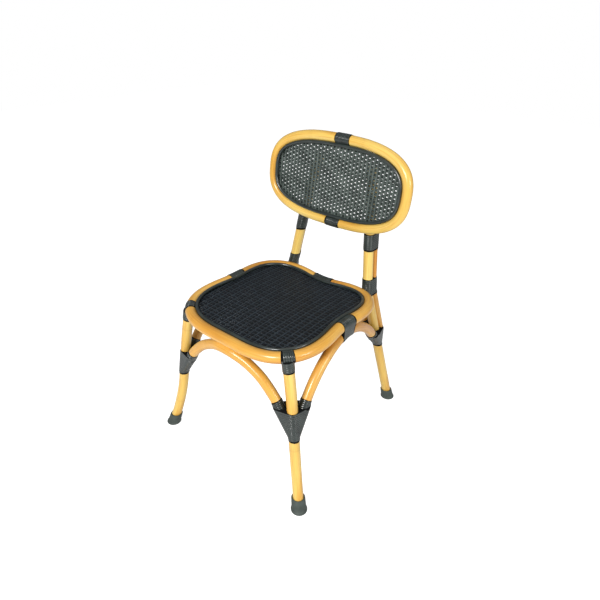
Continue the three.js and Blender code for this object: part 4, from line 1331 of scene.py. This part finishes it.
def lattice(name, across, pitch, other, width, depth, wave, sway, material):
    """Parallel strips of the back: upright ones for across 0, level ones for across 1."""
    rows = []
    for x, height, rise in woven(back_outline, pitch, other, across, wave, sway):
        points = back_sheet(x, height, depth_of_back) + back_front * (depth + rise)[:, None]
        rows.append((points, np.tile(back_front, (len(points), 1))))
    swept_strips(name, rows, width, back_strip_thickness, False, material, "cane", "back_panel")
    print(name, "has", len(rows), "strips")


lattice("back_front_uprights", 0, upright_pitch, level_pitch, front_upright_width, front_depth,
        back_wave, 0, cane_strip)
lattice("back_front_levels", 1, level_pitch, upright_pitch, front_level_width, front_depth,
        front_level_wave, front_sway, cane_strip)
# The rear layer is darker than the front, as painted shade.
lattice("back_rear_uprights", 0, upright_pitch, rear_level_pitch, rear_upright_width, rear_depth,
        back_wave, 0, painted_shade_strip)
lattice("back_rear_levels", 1, rear_level_pitch, upright_pitch, rear_level_width, rear_depth,
        back_wave, rear_sway, painted_shade_strip)

# %% Edge of the back
# Seen through the holes near the edge of the back, the band makes them dark.
back_band_width, back_band_depth = 13, back_middle - 2.4
reach = np.linalg.norm(back_outline, axis=1)


def back_band_edge(share_left):
    flat = back_outline * np.reshape(share_left, (-1, 1))
    return back_sheet(flat[:, 0], flat[:, 1], depth_of_back) + back_front * back_band_depth


ring_band("back_edge_band", back_band_edge(np.ones(len(reach))),
          back_band_edge(1 - back_band_width / reach), "back_panel", "cane")
back_pieces = [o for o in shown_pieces() if o.name.startswith("back_")]
print("the back has", sum(len(o.data.polygons) for o in back_pieces), "faces")

# %% [markdown]
# ## Feet
# Each cap is a moulded boot with a level sole, a flange with rounded edges and a soft lip
# round the pole. Spinning a profile would make one on an upright pole. These poles lean, so
# each ring of the profile is set level round the place where its pole passes.

# %% Caps
cap_sides = 48
# Level and radius, from the middle of the sole up the outside and over the lip.
boot_profile = [(0, 19.6), (0.25, 20.6), (1.2, 21.7), (2.4, 22), (4.6, 22), (5.8, 21.5),
                (6.6, 20.6), (7.6, 19.9), (9, 19.7), (20, 19.4), (33, 18.8), (35.6, 18.4),
                (36.6, 17.6), (37, 16.6), (36.6, 15.4), (35.0, 15.0), (30, 15.0)]


def cap(name, path):
    rows = []
    for level, radius in boot_profile:
        at = crossing(path, Z, level)[0]
        flat = at[:2] + radius * compass(cap_sides)
        rows.append(np.column_stack([flat, np.full(cap_sides, level)]))
    sole, inside = end_faces(len(rows), cap_sides)
    faces = [sole, *skin(len(rows), cap_sides), inside]
    return dress(mesh_object(name + "_boot", np.vstack(rows), faces, cap_rubber), "rubber", name)


for word, side in SIDES.items():
    cap("front_cap_" + word, legs[side])
    cap("rear_cap_" + word, posts[side])
print("a cap is", max(level for level, radius in boot_profile), "mm high")

# %% [markdown]
# ## Dowels
# Turned dowels hold the joints from inside and are never seen. Their CAD solids are right as
# they are, so they stay, and only get plain hardwood.

# %% Dowels
hidden = [n for n in frame["nodes"] if "dowel" in n]
for name in hidden:
    materials = frame["nodes"][name].data.materials
    materials.clear()
    materials.append(dowel_wood)
still_cad = [n for n, o in frame["nodes"].items() if not o.hide_render]
print("dowels:", len(hidden), "- still CAD:", still_cad)

# %% [markdown]
# ## Stage, lights and camera
# A pale floor under broad soft lights, and a camera at the photograph's angle. What the
# camera sees beyond the chair is plain white. More light on the floor would whiten it too,
# but would bleach the cane, so floor and world are made brighter for the camera alone.

# %% Floor
floor_half, floor_drop = 6000, 0.0004


def floor_material():
    """A white that stays white however it is lit, and darkens only in a close shadow."""
    material, tree = new_material("Floor pale")
    seen = add_node(tree, "ShaderNodeLightPath").outputs["Is Camera Ray"]
    glow = add_node(tree, "ShaderNodeMapRange", {"Value": seen, "To Min": 0.24, "To Max": 0.86})
    finish(tree, {"Base Color": linear("#d8d8d8"), "Roughness": 0.9, "Specular IOR Level": 0.0,
                  "Emission Color": linear("#ffffff"), "Emission Strength": glow.outputs["Result"]})
    return material


corners = floor_half * np.array([[-1, -1, 0], [1, -1, 0], [1, 1, 0], [-1, 1, 0]])
plane = mesh_object("floor", corners, [(0, 1, 2, 3)], floor_material())
plane.location.z = -floor_drop
print("the floor is", 2 * floor_half / 1000, "m wide")

# %% World
world = bpy.data.worlds.new("Studio")
bpy.context.scene.world = world
world.use_nodes = True
tree = world.node_tree
tree.nodes.clear()
rays = add_node(tree, "ShaderNodeLightPath")
soft = add_node(tree, "ShaderNodeBackground", {"Color": (0.92, 0.95, 1.0, 1), "Strength": 0.25})
white = add_node(tree, "ShaderNodeBackground", {"Color": (1, 1, 1, 1), "Strength": 1.0})
choice = add_node(tree, "ShaderNodeMixShader", {0: rays.outputs["Is Camera Ray"],
                                                1: soft.outputs[0], 2: white.outputs[0]})
add_node(tree, "ShaderNodeOutputWorld", {"Surface": choice.outputs[0]})
print("world nodes:", len(tree.nodes))

# %% Lights


def turned(x_axis, y_axis, z_axis, place):
    """The matrix that puts a light or camera at a place, with these axes."""
    spin = Matrix((x_axis, y_axis, z_axis)).transposed().to_4x4()
    return Matrix.Translation(place) @ spin


def area_light(name, place, aim, size, power, colour=(1, 1, 1)):
    """A square soft light; place, aim and size are in metres, power in watts."""
    light = bpy.data.lights.new(name, "AREA")
    light.shape = "RECTANGLE"
    light.size, light.size_y = size, size
    light.energy = power
    light.color = colour
    obj = bpy.data.objects.new(name, light)
    bpy.context.collection.objects.link(obj)
    toward = unit(np.array(aim) - np.array(place))
    side = unit(np.cross(toward, UP))
    obj.matrix_world = turned(side, np.cross(side, toward), -toward, place)
    return obj


area_light("Key", place=(0.5, -3.0, 2.2), aim=(0, 0, 0.45), size=0.9, power=98,
           colour=(1.0, 0.985, 0.97))
area_light("Fill", place=(3.0, -0.4, 1.7), aim=(0, 0, 0.45), size=1.0, power=36,
           colour=(1.0, 0.99, 0.97))
area_light("Top", place=(0.2, 0.3, 3.2), aim=(0, 0, 0.4), size=2.4, power=7)
print("lights:", len(bpy.data.lights))

# %% Camera
# Angles, focal length and middle were worked out from the photograph, 600 pixels square.
azimuth, elevation, roll = math.radians(39.36), math.radians(31.82), math.radians(1.077)
photo_pixels, focal_pixels, middle_across, middle_down = 600, 506.5, 291.5, 319.0
camera_place, sensor_width = [792.7, -932.2, 1140.8], 36
backward = np.array([math.cos(elevation) * math.sin(azimuth),
                     -math.cos(elevation) * math.cos(azimuth), math.sin(elevation)])
level_side = np.array([math.cos(azimuth), math.sin(azimuth), 0])
over = np.cross(backward, level_side)
camera_right = level_side * math.cos(roll) + over * math.sin(roll)
camera_up = over * math.cos(roll) - level_side * math.sin(roll)
camera_data = bpy.data.cameras.new("Camera")
camera_data.sensor_width = sensor_width
camera_data.lens = focal_pixels / photo_pixels * sensor_width
camera_data.shift_x = -(middle_across - photo_pixels / 2) / photo_pixels
camera_data.shift_y = (middle_down - photo_pixels / 2) / photo_pixels
camera = bpy.data.objects.new("Camera", camera_data)
bpy.context.collection.objects.link(camera)
camera.matrix_world = turned(camera_right, camera_up, backward, metres(camera_place))
bpy.context.scene.camera = camera
bpy.context.scene.view_settings.view_transform = "Standard"
print("focal length:", round(camera_data.lens, 2), "mm")
